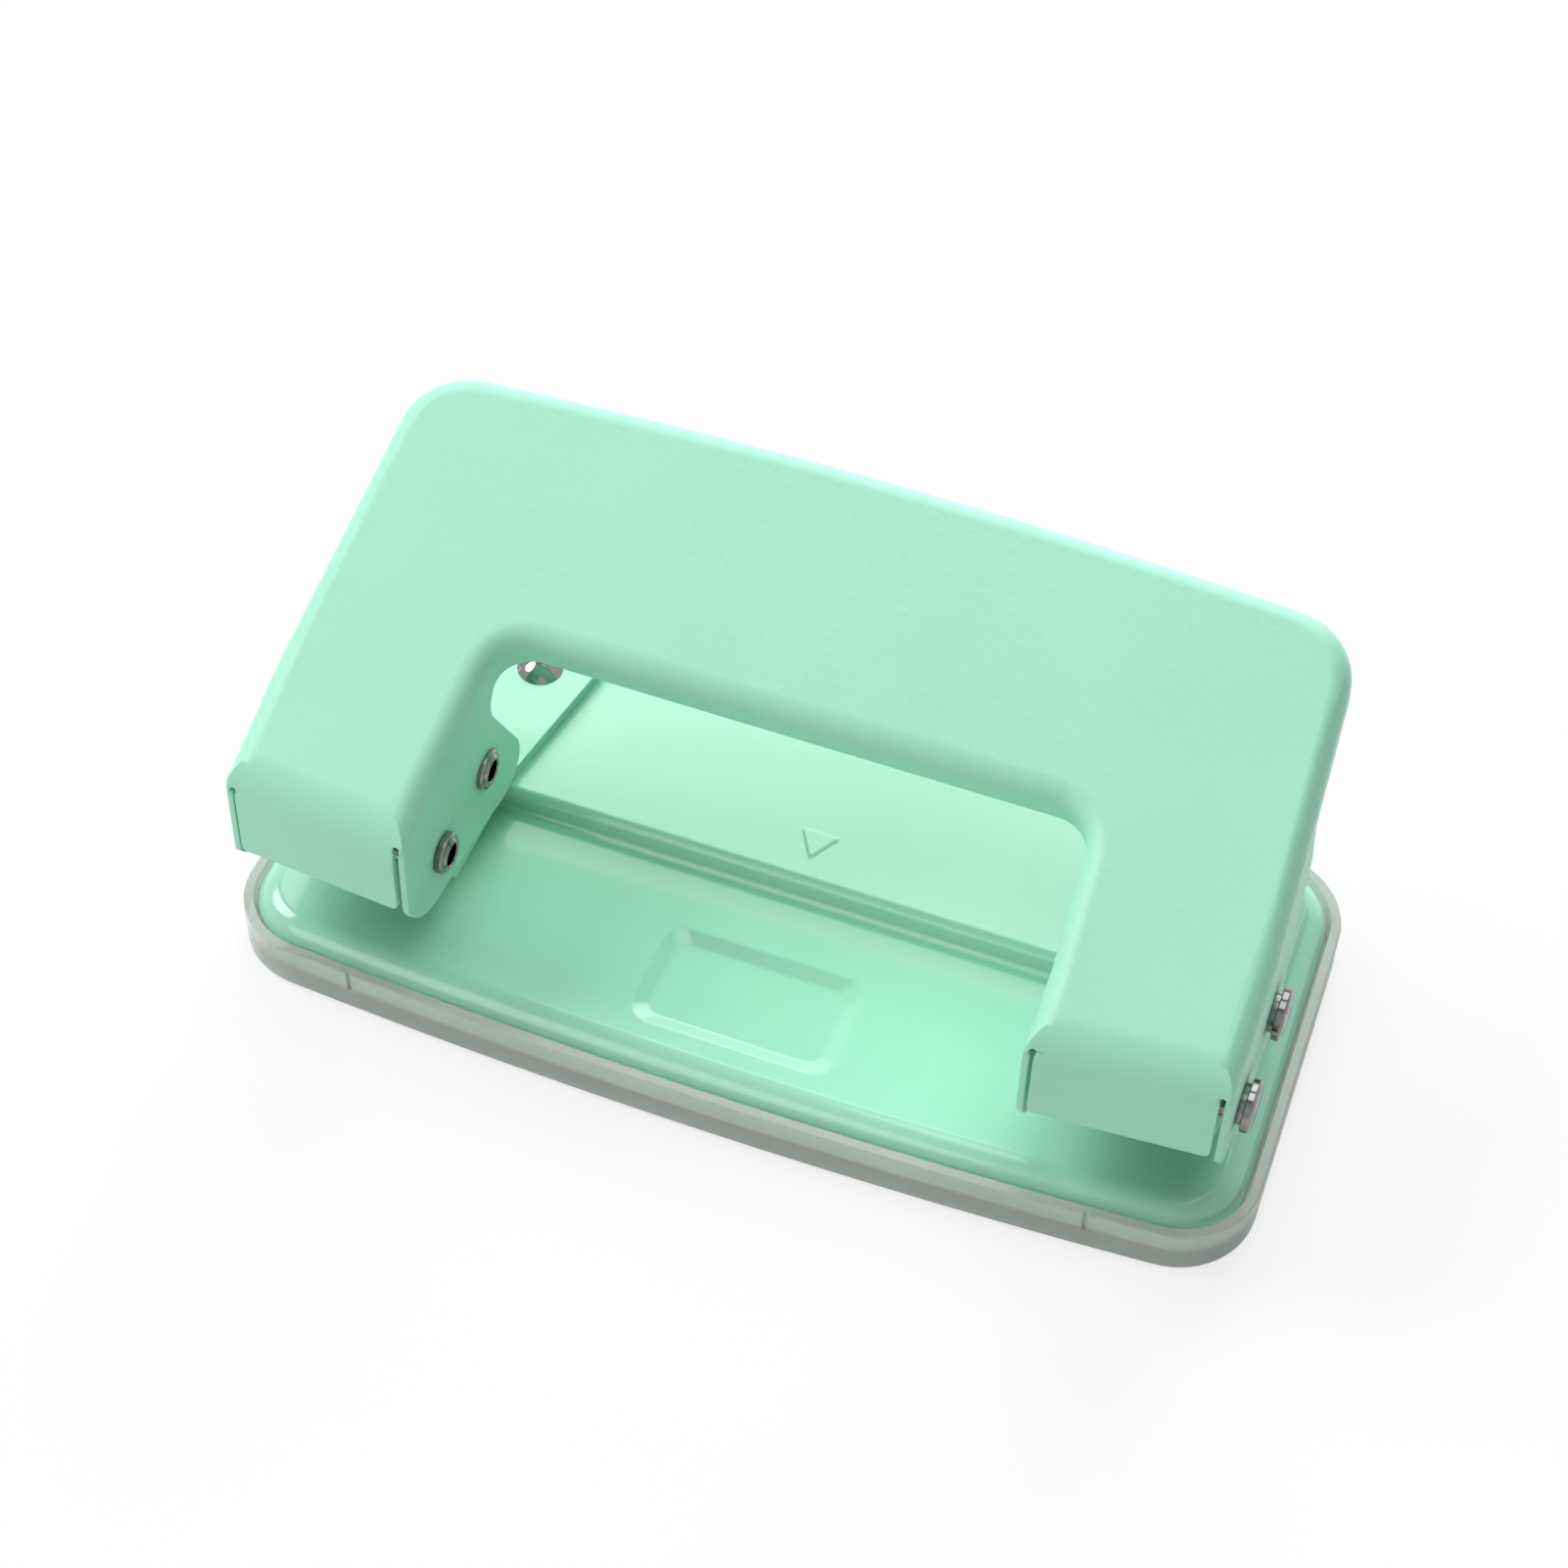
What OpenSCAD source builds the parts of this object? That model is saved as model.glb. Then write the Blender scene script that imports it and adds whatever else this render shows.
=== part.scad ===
// Small desk punch for two holes: a bent sheet lever on two riveted brackets,
// a pressed base and a clear tray for the paper chips.
// Millimetres, +Z up, handle towards +Y, paper comes in from -Y.
// The origin lies on the resting plane, under the middle of the tray.

/* [Holes] */
// distance between the two hole centres
hole_spacing = 80; // [79:0.5:81]
// diameter of the punched hole
hole_d = 6; // [5:0.1:6.2]
// hole centre to the paper stop
hole_margin = 7.4; // [7:0.1:8.2]

/* [Base] */
// width of the pressed base
base_width = 102.4; // [101.4:0.2:106]
// depth of the pressed base along the middle
base_depth = 47.6; // [46.8:0.1:51]
// how much each side draws in towards the rear, per length
base_taper = 0.028; // [0:0.002:0.036]
// how far the front edge bows out in the middle
front_bow = 2; // [0.5:0.1:2.5]
// corner radius of the base seen from above
base_corner_r = 7; // [5:0.5:10]
// radius of the rolled rim
rim_r = 2.6; // [2:0.1:3]
// sheet thickness of the base
base_t = 1; // [0.8:0.1:1.2]
// height of the front surface over the skirt edge
skirt_h = 4.4; // [4:0.1:5]
// height of the raised table behind the paper stop
table_rise = 2.4; // [2:0.1:2.8]
// paper stop behind the middle of the base
stop_y = 0.4; // [0.2:0.05:0.8]
// width of the sunk field
field_w = 21.2; // [16:0.2:24]
// depth of the sunk field, front to rear
field_d = 12.2; // [8:0.2:13]
// width of the slope round the sunk field
field_slope = 1.5; // [0.8:0.1:1.8]
// how deep the field is sunk
field_sink = 0.6; // [0.3:0.1:0.8]
// side of the raised centre mark
mark_w = 5.4; // [3:0.1:6]

/* [Tray] */
// wall thickness of the tray
tray_t = 1.1; // [0.9:0.1:1.4]
// floor thickness of the tray
tray_floor = 1.2; // [1:0.1:1.6]
// height of the tray wall
tray_h = 5.6; // [5.2:0.1:6]
// height of the ledge that carries the base
ledge_h = 2.5; // [2.2:0.1:3]
// play between tray wall and base skirt
tray_gap = 0.3; // [0.2:0.05:0.4]
// height left free over the ledge
seat_gap = 0.1; // [0.05:0.05:0.2]

/* [Lever] */
// tilt of the raised handle
lever_tilt = 19.7; // [18.5:0.1:21]
// outside width of one arm
arm_w = 19.2; // [18.6:0.1:19.6]
// sheet thickness of the lever
lever_t = 0.7; // [0.65:0.05:0.85]
// pivot axis to the rear edge, along the lever
lever_reach = 45.6; // [43:0.1:48]
// height of the top sheet over the pivot axis
lever_top = 11.9; // [11.5:0.1:12.6]
// pivot axis to the window rear wall, along the lever
window_reach = 18.9; // [18:0.1:21]
// outer radius of the side bends
bend_r = 2.2; // [1.8:0.1:2.4]
// outer radius of the front curl
curl_r = 5; // [4:0.1:5.4]
// corner radius at the rear of the handle
handle_corner_r = 6.8; // [5:0.1:8]
// corner radius of the window
window_corner_r = 3.8; // [3:0.1:5]
// depth of the narrow turned-down edge
edge_h = 4.9; // [4.2:0.1:5.4]
// pivot axis to the lowest point of the arm sides
side_drop = 6.5; // [6:0.1:6.8]
// front face of the flaps ahead of the pivot axis
flap_front = 7.3; // [6.9:0.1:7.6]
// lower edge of the flaps under the pivot axis
flap_drop = 0.4; // [0.2:0.1:1]
// width of the relief slits beside the flaps
slit_w = 0.4; // [0.3:0.05:0.6]
// how far each arm front turns outwards, in degrees
front_turn = 4.5; // [0:0.5:5]

/* [Brackets] */
// sheet thickness of the brackets
plate_t = 1.4; // [1.2:0.1:1.5]
// play between bracket ears and arm sides
ear_gap = 0.85; // [0.8:0.05:1]
// height of the guide bridge over the foot plate
bridge_h = 16; // [15.6:0.1:16.6]
// pivot axis over the foot plate
pivot_h = 9.6; // [9.4:0.1:9.9]
// length of the foot behind the rivets
foot_len = 3.3; // [2.9:0.1:3.7]
// how far the foot widens towards the middle
foot_flare = 3.2; // [2:0.1:3.6]
// rivets ahead of the rear edge of the base
rivet_back = 7.5; // [7.2:0.1:10.8]
// outer rivets to the side of the base
rivet_side = 7.2; // [6.8:0.1:8]
// distance between the two rivets of a foot
rivet_pitch = 9.2; // [8.4:0.1:9.6]
// diameter of the rivet shanks
rivet_d = 3; // [2.6:0.1:3.2]
// diameter of the rivet heads
rivet_head_d = 4.8; // [4.4:0.1:5.2]

/* [Pins] */
// diameter of the pivot and drive pins
pin_d = 3.4; // [3:0.1:3.5]
// diameter of the pin heads
pin_head_d = 5.2; // [4.8:0.1:5.4]
// thickness of the pin heads
pin_head_t = 1; // [0.8:0.1:1.2]
// pivot axis to drive pin axis
drive_r = 10; // [9.8:0.1:10.2]
// swing of the lever from rest to full stroke
stroke = 19; // [17:0.5:19.5]
// play of pins and punches in their bores, on the radius
run_fit = 0.05; // [0.03:0.01:0.08]
// play of fixed pins and rivets in their holes, on the radius
hold_fit = 0.02; // [0.01:0.01:0.03]
// thickness of the pin retaining rings
ring_t = 0.8; // [0.6:0.1:0.9]
// diameter of the pin retaining rings
ring_d = 4.3; // [4.2:0.1:4.6]

/* [Punches] */
// wire diameter of the return springs
wire_d = 0.6; // [0.5:0.05:0.7]
// turns of the return springs
turns = 4; // [3:0.5:4]
// thickness of the spring clips on the punches
clip_t = 0.7; // [0.6:0.05:0.8]
// hollow ground into the punch tips
tip_hollow = 0.8; // [0.5:0.1:1]

/* [Hidden] */
$fn = 48;
eps = 0.01;

arm_x = hole_spacing / 2;
front_z = ledge_h + seat_gap + skirt_h;
table_z = front_z + table_rise;
plate_z = table_z + plate_t;
half_stroke = stroke / 2;
punch_y = stop_y - hole_margin;
pivot_y = punch_y - drive_r * (1 + cos(half_stroke)) / 2;
pivot_z = plate_z + pivot_h;
drive_y = pivot_y + drive_r * cos(half_stroke);
drive_z = pivot_z + drive_r * sin(half_stroke);
travel = 2 * drive_r * sin(half_stroke);
ear_half = arm_w / 2 - lever_t - ear_gap;
bridge_z = plate_z + bridge_h;
table_inset = 2.1;
table_draft = 0.5;
rivet_out = base_width / 2 - rivet_side - arm_x;
rivet_in = rivet_out - rivet_pitch;
rivet_y = base_depth / 2 - rivet_back;
foot_edge = 2.85;
foot_front = pivot_y + 2;
clip_drop = 1.9;
clip_top = drive_z - pin_d / 2 - clip_drop;
collar = 0.5;
rib_in = 1.7;
rib_x = arm_x - rib_in;
slot_play = 0.5;
tip_lift = 0.2;
punch_over = 1.6;
far = 60;

echo(str("punch travel ", travel, " mm over ", stroke, " degrees, ", travel / (stroke * PI / 180), " mm/rad"));
echo(str("pivot y ", pivot_y, " z ", pivot_z, "; punch y ", punch_y, "; drive y ", drive_y, " z ", drive_z));

function arc(c, r, a0, a1, n) =
    [for (i = [0:n]) c + r * [cos(a0 + (a1 - a0) * i / n), sin(a0 + (a1 - a0) * i / n)]];

// Draws an outline in towards the rear.
function tapered(outline) =
    [for (p = outline) [p[0] * (1 - base_taper * p[1] * 2 / base_width), p[1]]];

// Outline of base and tray, drawn in by the inset.
function bow_y(x, inset) = -base_depth / 2 + inset + front_bow * pow(x / (base_width / 2), 2);
function plan_outline(inset) =
    let (w = base_width / 2 - inset,
        r = base_corner_r - inset,
        back = base_depth / 2 - inset,
        lean = atan(2 * front_bow * (w - r) / pow(base_width / 2, 2)),
        xs = w - r + r * sin(lean),
        cy = bow_y(xs, inset) + r * cos(lean),
        right = concat([for (i = [1:10]) [xs * i / 10, bow_y(xs * i / 10, inset)]],
            arc([w - r, cy], r, -90 + lean + 5, 0, 7),
            arc([w - r, back - r], r, 0, 90, 7)),
        n = len(right))
    tapered(concat([[0, bow_y(0, inset)]], right, [for (i = [1:n]) [-right[n - i][0], right[n - i][1]]]));

module slab(inset, z, h) {
    translate([0, 0, z]) linear_extrude(h) polygon(plan_outline(inset));
}

// Skin through outlines of equal length, each given with its height, from below upwards.
module loft(outlines, heights) {
    n = len(outlines[0]);
    m = len(outlines);
    points = [for (k = [0:m - 1], p = outlines[k]) [p[0], p[1], heights[k]]];
    skin = [for (k = [0:m - 2], i = [0:n - 1])
        let (a = k * n + i, b = k * n + (i + 1) % n)
        each [[a, a + n, b + n], [a, b + n, b]]];
    polyhedron(points, concat([[for (i = [0:n - 1]) i]], [[for (i = [0:n - 1]) m * n - 1 - i]], skin));
}

// Domed pressing with a rolled rim; shrink gives its hollow.
module pressing(shrink, foot_z) {
    turn = [0:22.5:90];
    r = rim_r - shrink;
    loft(concat([plan_outline(shrink)], [for (a = turn) plan_outline(shrink + r * (1 - cos(a)))]),
        concat([foot_z], [for (a = turn) front_z - rim_r + r * sin(a)]));
}

function table_outline(inset) =
    let (w = base_width / 2 - table_inset - inset,
        back = base_depth / 2 - table_inset - inset,
        r = base_corner_r - table_inset - inset,
        right = concat([[w, stop_y + inset]], arc([w - r, back - r], r, 0, 90, 6)),
        n = len(right))
    tapered(concat(right, [for (i = [1:n]) [-right[n - i][0], right[n - i][1]]]));

// Raised table behind the paper stop; shrink gives its hollow.
module table(shrink) {
    loft([table_outline(shrink), table_outline(shrink), table_outline(shrink + table_draft)],
        [front_z - shrink - 1, front_z - shrink, table_z - shrink]);
}

function field_outline(grow) =
    let (r = field_slope + 0.5,
        y = punch_y - 0.2 - field_d / 2,
        dx = field_w / 2 - r,
        dy = field_d / 2 - r)
    concat(arc([dx, y + dy], r + grow, 0, 90, 4), arc([-dx, y + dy], r + grow, 90, 180, 4),
        arc([-dx, y - dy], r + grow, 180, 270, 4), arc([dx, y - dy], r + grow, 270, 360, 4));

function mark_outline(inset) =
    let (r = 0.6, d = mark_w / sqrt(3) - 2 * r)
    [for (k = [0:2]) each arc(d * [cos(120 * k - 90), sin(120 * k - 90)], r - inset, 120 * k - 150, 120 * k - 30, 4)];

module base_plate() {
    color([0.70, 0.94, 0.85]) difference() {
        union() {
            difference() {
                union() {
                    pressing(0, ledge_h + seat_gap);
                    table(0);
                }
                pressing(base_t, ledge_h + seat_gap - 1);
                table(base_t);
            }
            translate([0, 0, front_z - field_sink - base_t]) linear_extrude(field_sink + 0.1)
                polygon(field_outline(base_t));
            translate([0, stop_y + 5.7, 0])
                loft([mark_outline(0), mark_outline(0), mark_outline(0.4)],
                    [table_z - 0.1, table_z + 0.1, table_z + 0.4]);
        }
        loft([field_outline(-field_slope), field_outline(0), field_outline(0)],
            [front_z - field_sink, front_z, front_z + 1]);
        for (s = [-1, 1]) {
            translate([s * arm_x, punch_y, 0]) cylinder(d = hole_d + 2 * run_fit, h = table_z);
            for (dx = [rivet_in, rivet_out])
                translate([s * (arm_x + dx), rivet_y, 0])
                    cylinder(d = rivet_d + 2 * hold_fit, h = table_z + 1);
        }
    }
}

module chip_tray() {
    out = -tray_gap - tray_t;
    color([0.85, 0.90, 0.88]) difference() {
        loft([plan_outline(out + 0.6), plan_outline(out), plan_outline(out)], [0, 0.6, tray_h]);
        slab(-tray_gap, ledge_h, tray_h);
        slab(base_t + 1, tray_floor, tray_h);
        for (s = [-1, 1])
            translate([s * rib_x - 0.2, bow_y(rib_x, out) - 1, tray_h - 2.6])
                cube([0.4, 1.4, 3]);
    }
}

// Everything on one arm is drawn around the arm middle, towards +X outwards.
module on_arm(side) {
    if (side > 0)
        translate([arm_x, 0, 0]) children();
    else
        mirror([1, 0, 0]) translate([arm_x, 0, 0]) children();
}

module cross_bar(d, len, x0) {
    translate([x0, 0, 0]) rotate([0, 90, 0]) cylinder(d = d, h = len);
}

module ear_outline() {
    ear_rear = stop_y - 0.6;
    polygon([[foot_front, table_z + eps], [ear_rear, table_z + eps],
        [ear_rear, drive_z + 2], [punch_y + 5, bridge_z], [punch_y - 5, bridge_z],
        [pivot_y - 2.4, pivot_z + 2.4], [pivot_y - 3.2, pivot_z]]);
}

module bracket() {
    foot_rear = rivet_y + foot_len;
    difference() {
        union() {
            translate([0, 0, table_z]) linear_extrude(plate_t)
                polygon([[-ear_half, foot_front], [ear_half, foot_front], [ear_half, stop_y + 9],
                    [rivet_out + foot_edge, foot_rear], [rivet_in - foot_edge - foot_flare, foot_rear],
                    [-ear_half, stop_y + 0.8]]);
            for (x = [-ear_half, ear_half - plate_t]) {
                translate([x, 0, 0]) rotate([90, 0, 90]) linear_extrude(plate_t) ear_outline();
                translate([x, pivot_y, pivot_z]) cross_bar(6.8, plate_t, 0);
            }
            translate([-ear_half + 0.1, punch_y - 5, bridge_z - plate_t])
                cube([2 * ear_half - 0.2, 10, plate_t]);
        }
        translate([0, punch_y, table_z - 1]) cylinder(d = hole_d + 2 * run_fit, h = bridge_h + 6);
        translate([0, pivot_y, pivot_z]) cross_bar(pin_d + 2 * run_fit, far, -far / 2);
        for (z = [-travel / 2, travel / 2])
            translate([0, punch_y, pivot_z + z]) cross_bar(pin_d + 2 * slot_play, far, -far / 2);
        translate([-far / 2, punch_y - pin_d / 2 - slot_play, pivot_z - travel / 2])
            cube([far, pin_d + 2 * slot_play, travel]);
        for (dx = [rivet_in, rivet_out])
            translate([dx, rivet_y, table_z - 1])
                cylinder(d = rivet_d + 2 * hold_fit, h = plate_t + 2);
    }
}

module rivet(dx) {
    head_h = 1.3;
    crown = (pow(rivet_head_d / 2, 2) + pow(head_h, 2)) / (2 * head_h);
    translate([dx, rivet_y, 0]) {
        translate([0, 0, table_z - base_t - 0.7]) cylinder(d = rivet_d, h = base_t + plate_t + 0.8);
        translate([0, 0, table_z - base_t - 0.7]) cylinder(d = rivet_head_d - 0.6, h = 0.7);
        intersection() {
            translate([0, 0, plate_z + head_h - crown]) sphere(r = crown);
            translate([0, 0, plate_z]) cylinder(d = rivet_head_d + 1, h = head_h + 1);
        }
    }
}

// Seen from above, drawn in by the inset; u runs along the lever from the pivot axis.
function lever_plan(inset) =
    let (wo = arm_x + arm_w / 2 - inset,
        wi = arm_x - arm_w / 2 + inset,
        taper_o = 0.055,
        taper_i = 0.055,
        uo = 10,
        ui = 4,
        r = handle_corner_r - inset,
        q = window_corner_r + inset,
        rear = lever_reach - inset,
        bow = 0.95 / pow(35, 2),
        uc = rear - 1.4 - r,
        xo = wo - taper_o * (uc - uo) - r,
        uw = window_reach + inset,
        xi = wi - taper_i * (uw - q - ui) - q,
        right = concat(
            [for (i = [0:6]) [xo * i / 6, rear - bow * pow(xo * i / 6, 2)]],
            arc([xo, uc], r, 84, 0, 7),
            [[wo, uo], [wo, -far / 2], [wi, -far / 2], [wi, ui]],
            arc([xi, uw - q], q, 0, 90, 6)),
        n = len(right))
    concat(right, [for (i = [1:n - 1]) [-right[n - i][0], right[n - i][1]]]);

// Rounded slug of the lever; its top lies at lever_top less the shrink.
module lever_slug(shrink) {
    rotate([lever_tilt, 0, 0]) minkowski() {
        translate([0, 0, lever_top - bend_r - far]) linear_extrude(far) polygon(lever_plan(bend_r));
        sphere(r = bend_r - shrink, $fn = 16);
    }
}

// Side view of the front curl, around the pivot axis, at rest.
module curl_block(shrink) {
    edge_z = lever_top / cos(lever_tilt) - flap_front * tan(lever_tilt);
    c = [curl_r - flap_front, edge_z - curl_r * tan((90 - lever_tilt) / 2)];
    bend = arc(c, curl_r - shrink, 180, 90 + lever_tilt, 8);
    top_normal = [0, -sin(lever_tilt), cos(lever_tilt)];
    for (s = [0, 1])
        mirror([s, 0, 0]) translate([arm_x, 0, 0]) rotate(a = front_turn, v = top_normal) rotate([90, 0, 90])
            translate([0, 0, -arm_x - arm_w / 2]) linear_extrude(arm_x + 2 * arm_w)
                polygon(concat([[shrink - flap_front, -far]], bend, [bend[8] + [0, far], [far, far], [far, -far]]));
}

// Side view of what is kept of an arm side, around the pivot axis, at rest.
// Its front is round; behind its lobe the lower edge leaves at the given turn and runs into the narrow edge.
function side_outline(front, front_r, turn, hollow_r) =
    let (lobe_r = 3.8,
        lobe = [drive_r + 3.3, lobe_r - side_drop],
        between = lobe - front,
        low = 360 + atan2(between[1], between[0]) - acos((front_r - lobe_r) / norm(between)),
        top0 = (lever_top - edge_h) / cos(lever_tilt),
        t = tan(lever_tilt),
        out = [cos(turn), sin(turn)],
        start = lobe + lobe_r * out,
        normal = hollow_r * (out + [-sin(lever_tilt), cos(lever_tilt)]),
        len = (top0 + t * (start[0] + normal[0]) - start[1] - normal[1]) / (cos(turn) + t * sin(turn)),
        c = start + len * [-sin(turn), cos(turn)] + hollow_r * out)
    concat([[-far, far], [-far, front[1]]],
        arc(front, front_r, 180, low, 12),
        arc(lobe, lobe_r, low, 360 + turn, 10),
        arc(c, hollow_r, 180 + turn, 90 + lever_tilt, 9),
        [[far, top0 + t * far], [far, far]]);

// The window sides end in a short lobe, the outer sides taper off along the handle.
module side_view() {
    front_drop = side_drop - 0.9;
    inner_r = 7.5;
    outer_r = 9;
    rotate([90, 0, 90]) {
        translate([0, 0, -arm_x]) linear_extrude(2 * arm_x)
            polygon(side_outline([-0.6, inner_r - front_drop], inner_r, 30, 3.5));
        for (x = [-arm_x - arm_w, arm_x - eps])
            translate([0, 0, x]) linear_extrude(arm_w + eps)
                polygon(side_outline([1.5, outer_r - front_drop], outer_r, -35, 8));
    }
}

module lever() {
    slit_top = lever_top / cos(lever_tilt) - flap_front * tan(lever_tilt) - 1.8;
    color([0.67, 0.92, 0.82]) translate([0, pivot_y, pivot_z]) difference() {
        intersection() {
            lever_slug(0);
            curl_block(0);
            side_view();
        }
        intersection() {
            lever_slug(lever_t);
            curl_block(lever_t);
        }
        for (s = [-1, 1]) {
            for (x = [arm_x - arm_w / 2 + lever_t, arm_x + arm_w / 2 - lever_t - slit_w])
                translate([s > 0 ? x : -x - slit_w, -flap_front - 2, -20])
                    cube([slit_w, 5, 20 + slit_top]);
            translate([s * arm_x - arm_w / 2 + lever_t + 0.1, -flap_front - 2, -20])
                cube([arm_w - 2 * lever_t - 0.2, 2 + lever_t + 1.2, 20 - flap_drop]);
            translate([s * arm_x, 0, 0]) {
                cross_bar(pin_d + 2 * hold_fit, arm_w + 4, -arm_w / 2 - 2);
                translate([0, drive_y - pivot_y, drive_z - pivot_z])
                    cross_bar(pin_d + 2 * hold_fit, arm_w + 4, -arm_w / 2 - 2);
            }
        }
    }
}

// Pin with a head outside; its inner end is hollow and carries a ring.
module pin(y, z) {
    end = collar + ring_t + 0.3;
    head_x = arm_w / 2 + collar;
    translate([0, y, z]) difference() {
        union() {
            cross_bar(pin_d, arm_w + end + collar, -arm_w / 2 - end);
            translate([arm_w / 2 + hold_fit, 0, 0]) rotate([0, 90, 0]) rotate_extrude()
                polygon([[0, 0], [pin_d / 2 + 0.3, 0], [pin_d / 2 + 0.3, collar],
                    [pin_head_d / 2, collar], [pin_head_d / 2, collar + pin_head_t - 0.3],
                    [pin_head_d / 2 - 0.5, collar + pin_head_t], [0, collar + pin_head_t]]);
        }
        cross_bar(pin_d - 1.4, 1.2, -arm_w / 2 - end - 0.2);
    }
}

module pin_ring(y, z) {
    translate([-arm_w / 2 - collar - ring_t + 0.1, y, z]) rotate([0, 90, 0]) rotate_extrude()
        polygon([[pin_d / 2 + hold_fit, 0], [ring_d / 2 - 0.2, 0], [ring_d / 2, 0.2],
            [ring_d / 2, ring_t], [pin_d / 2 + hold_fit, ring_t]]);
}

module punch() {
    tip_z = table_z + tip_lift;
    top_z = bridge_z + punch_over;
    hollow_r = (pow(hole_d / 2, 2) + pow(tip_hollow, 2)) / (2 * tip_hollow);
    translate([0, punch_y, 0]) difference() {
        union() {
            translate([0, 0, tip_z]) cylinder(d = hole_d, h = top_z - 0.6 - tip_z);
            translate([0, 0, top_z - 0.6]) cylinder(d1 = hole_d, d2 = hole_d - 1.2, h = 0.6);
        }
        translate([0, 0, tip_z + tip_hollow - hollow_r]) cross_bar(2 * hollow_r, 20, -10);
        for (y = [-0.35, 0.35])
            translate([0, y, drive_z]) cross_bar(pin_d + 2 * run_fit, 20, -10);
        translate([-10, -0.35, drive_z - pin_d / 2 - run_fit]) cube([20, 0.7, pin_d + 2 * run_fit]);
        translate([0, 0, clip_top - clip_t]) difference() {
            cylinder(d = hole_d + 2, h = clip_t);
            translate([0, 0, -1]) cylinder(d = hole_d - 1, h = clip_t + 2);
        }
    }
}

// Split clip that sits in the punch groove and carries the spring.
module clip() {
    translate([0, punch_y, clip_top - clip_t + hold_fit]) difference() {
        cylinder(d = hole_d + 2 + 2 * wire_d, h = clip_t - 2 * hold_fit);
        translate([0, 0, -1]) cylinder(d = hole_d - 1 + 2 * hold_fit, h = clip_t + 2);
        translate([-hole_d / 4, 0, -1]) cube([hole_d / 2, hole_d * 2, clip_t + 2]);
    }
}

// Coil as one unbroken tube; both ends run straight for one wire diameter.
spring_seat = 0.06;
spring_room = 0.5;
spring_lo = plate_z + spring_seat;
spring_hi = clip_top - clip_t - spring_seat;
spring_r = hole_d / 2 + spring_room + wire_d / 2;
rise = spring_hi - spring_lo - wire_d;
steps = 8 * turns;
sides = 6;

function coil_point(i) =
    let (a = 360 * i / 8)
    [spring_r * cos(a), spring_r * sin(a), spring_lo + wire_d / 2 + rise * i / steps];
function coil_along(i) =
    let (a = 360 * i / 8,
        v = [-sin(a), cos(a), rise / steps / (spring_r * PI / 4)])
    v / norm(v);
function coil_centre(i) =
    i < 0 ? coil_point(0) - wire_d * [0, 1, 0]
    : i > steps ? coil_point(steps) + wire_d * [-sin(45 * steps), cos(45 * steps), 0]
    : coil_point(i);
function coil_ring(i) =
    let (k = max(0, min(steps, i)),
        a = 360 * k / 8,
        level = i < 0 || i > steps,
        along = level ? [-sin(a), cos(a), 0] : coil_along(k),
        side = [cos(a), sin(a), 0],
        up = cross(along, side) * -1)
    [for (j = [0:sides - 1])
        coil_centre(i) + wire_d / 2 * (cos(60 * j) * side + sin(60 * j) * up)];

module spring() {
    rings = steps + 3;
    points = [for (i = [-1:steps + 1]) each coil_ring(i)];
    skin = [for (i = [0:rings - 2], j = [0:sides - 1])
        let (a = i * sides + j, b = i * sides + (j + 1) % sides)
        each [[a, a + sides, b + sides], [a, b + sides, b]]];
    caps = [for (j = [1:sides - 2])
        each [[0, j, j + 1], [(rings - 1) * sides, (rings - 1) * sides + j + 1, (rings - 1) * sides + j]]];
    translate([0, punch_y, 0]) polyhedron(points, concat(skin, caps));
}

coil_gap = min([for (i = [0:steps - 8], k = [6:10]) if (i + k <= steps) norm(coil_point(i + k) - coil_point(i))])
    - wire_d;
echo(str("least gap of the spring wire to itself ", coil_gap, " mm"));

module left_bracket() color([0.70, 0.94, 0.85]) on_arm(-1) bracket();
module right_bracket() color([0.70, 0.94, 0.85]) on_arm(1) bracket();
module left_inner_rivet() color([0.85, 0.85, 0.86]) on_arm(-1) rivet(rivet_in);
module left_outer_rivet() color([0.85, 0.85, 0.86]) on_arm(-1) rivet(rivet_out);
module right_inner_rivet() color([0.85, 0.85, 0.86]) on_arm(1) rivet(rivet_in);
module right_outer_rivet() color([0.85, 0.85, 0.86]) on_arm(1) rivet(rivet_out);
module left_pivot_pin() color([0.8, 0.8, 0.82]) on_arm(-1) pin(pivot_y, pivot_z);
module right_pivot_pin() color([0.8, 0.8, 0.82]) on_arm(1) pin(pivot_y, pivot_z);
module left_drive_pin() color([0.8, 0.8, 0.82]) on_arm(-1) pin(drive_y, drive_z);
module right_drive_pin() color([0.8, 0.8, 0.82]) on_arm(1) pin(drive_y, drive_z);
module left_pivot_ring() color([0.75, 0.75, 0.78]) on_arm(-1) pin_ring(pivot_y, pivot_z);
module right_pivot_ring() color([0.75, 0.75, 0.78]) on_arm(1) pin_ring(pivot_y, pivot_z);
module left_drive_ring() color([0.75, 0.75, 0.78]) on_arm(-1) pin_ring(drive_y, drive_z);
module right_drive_ring() color([0.75, 0.75, 0.78]) on_arm(1) pin_ring(drive_y, drive_z);
module left_punch() color([0.6, 0.6, 0.62]) on_arm(-1) punch();
module right_punch() color([0.6, 0.6, 0.62]) on_arm(1) punch();
module left_clip() color([0.5, 0.5, 0.52]) on_arm(-1) clip();
module right_clip() color([0.5, 0.5, 0.52]) on_arm(1) clip();
module left_spring() color([0.7, 0.7, 0.72]) on_arm(-1) spring();
module right_spring() color([0.7, 0.7, 0.72]) on_arm(1) spring();

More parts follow.
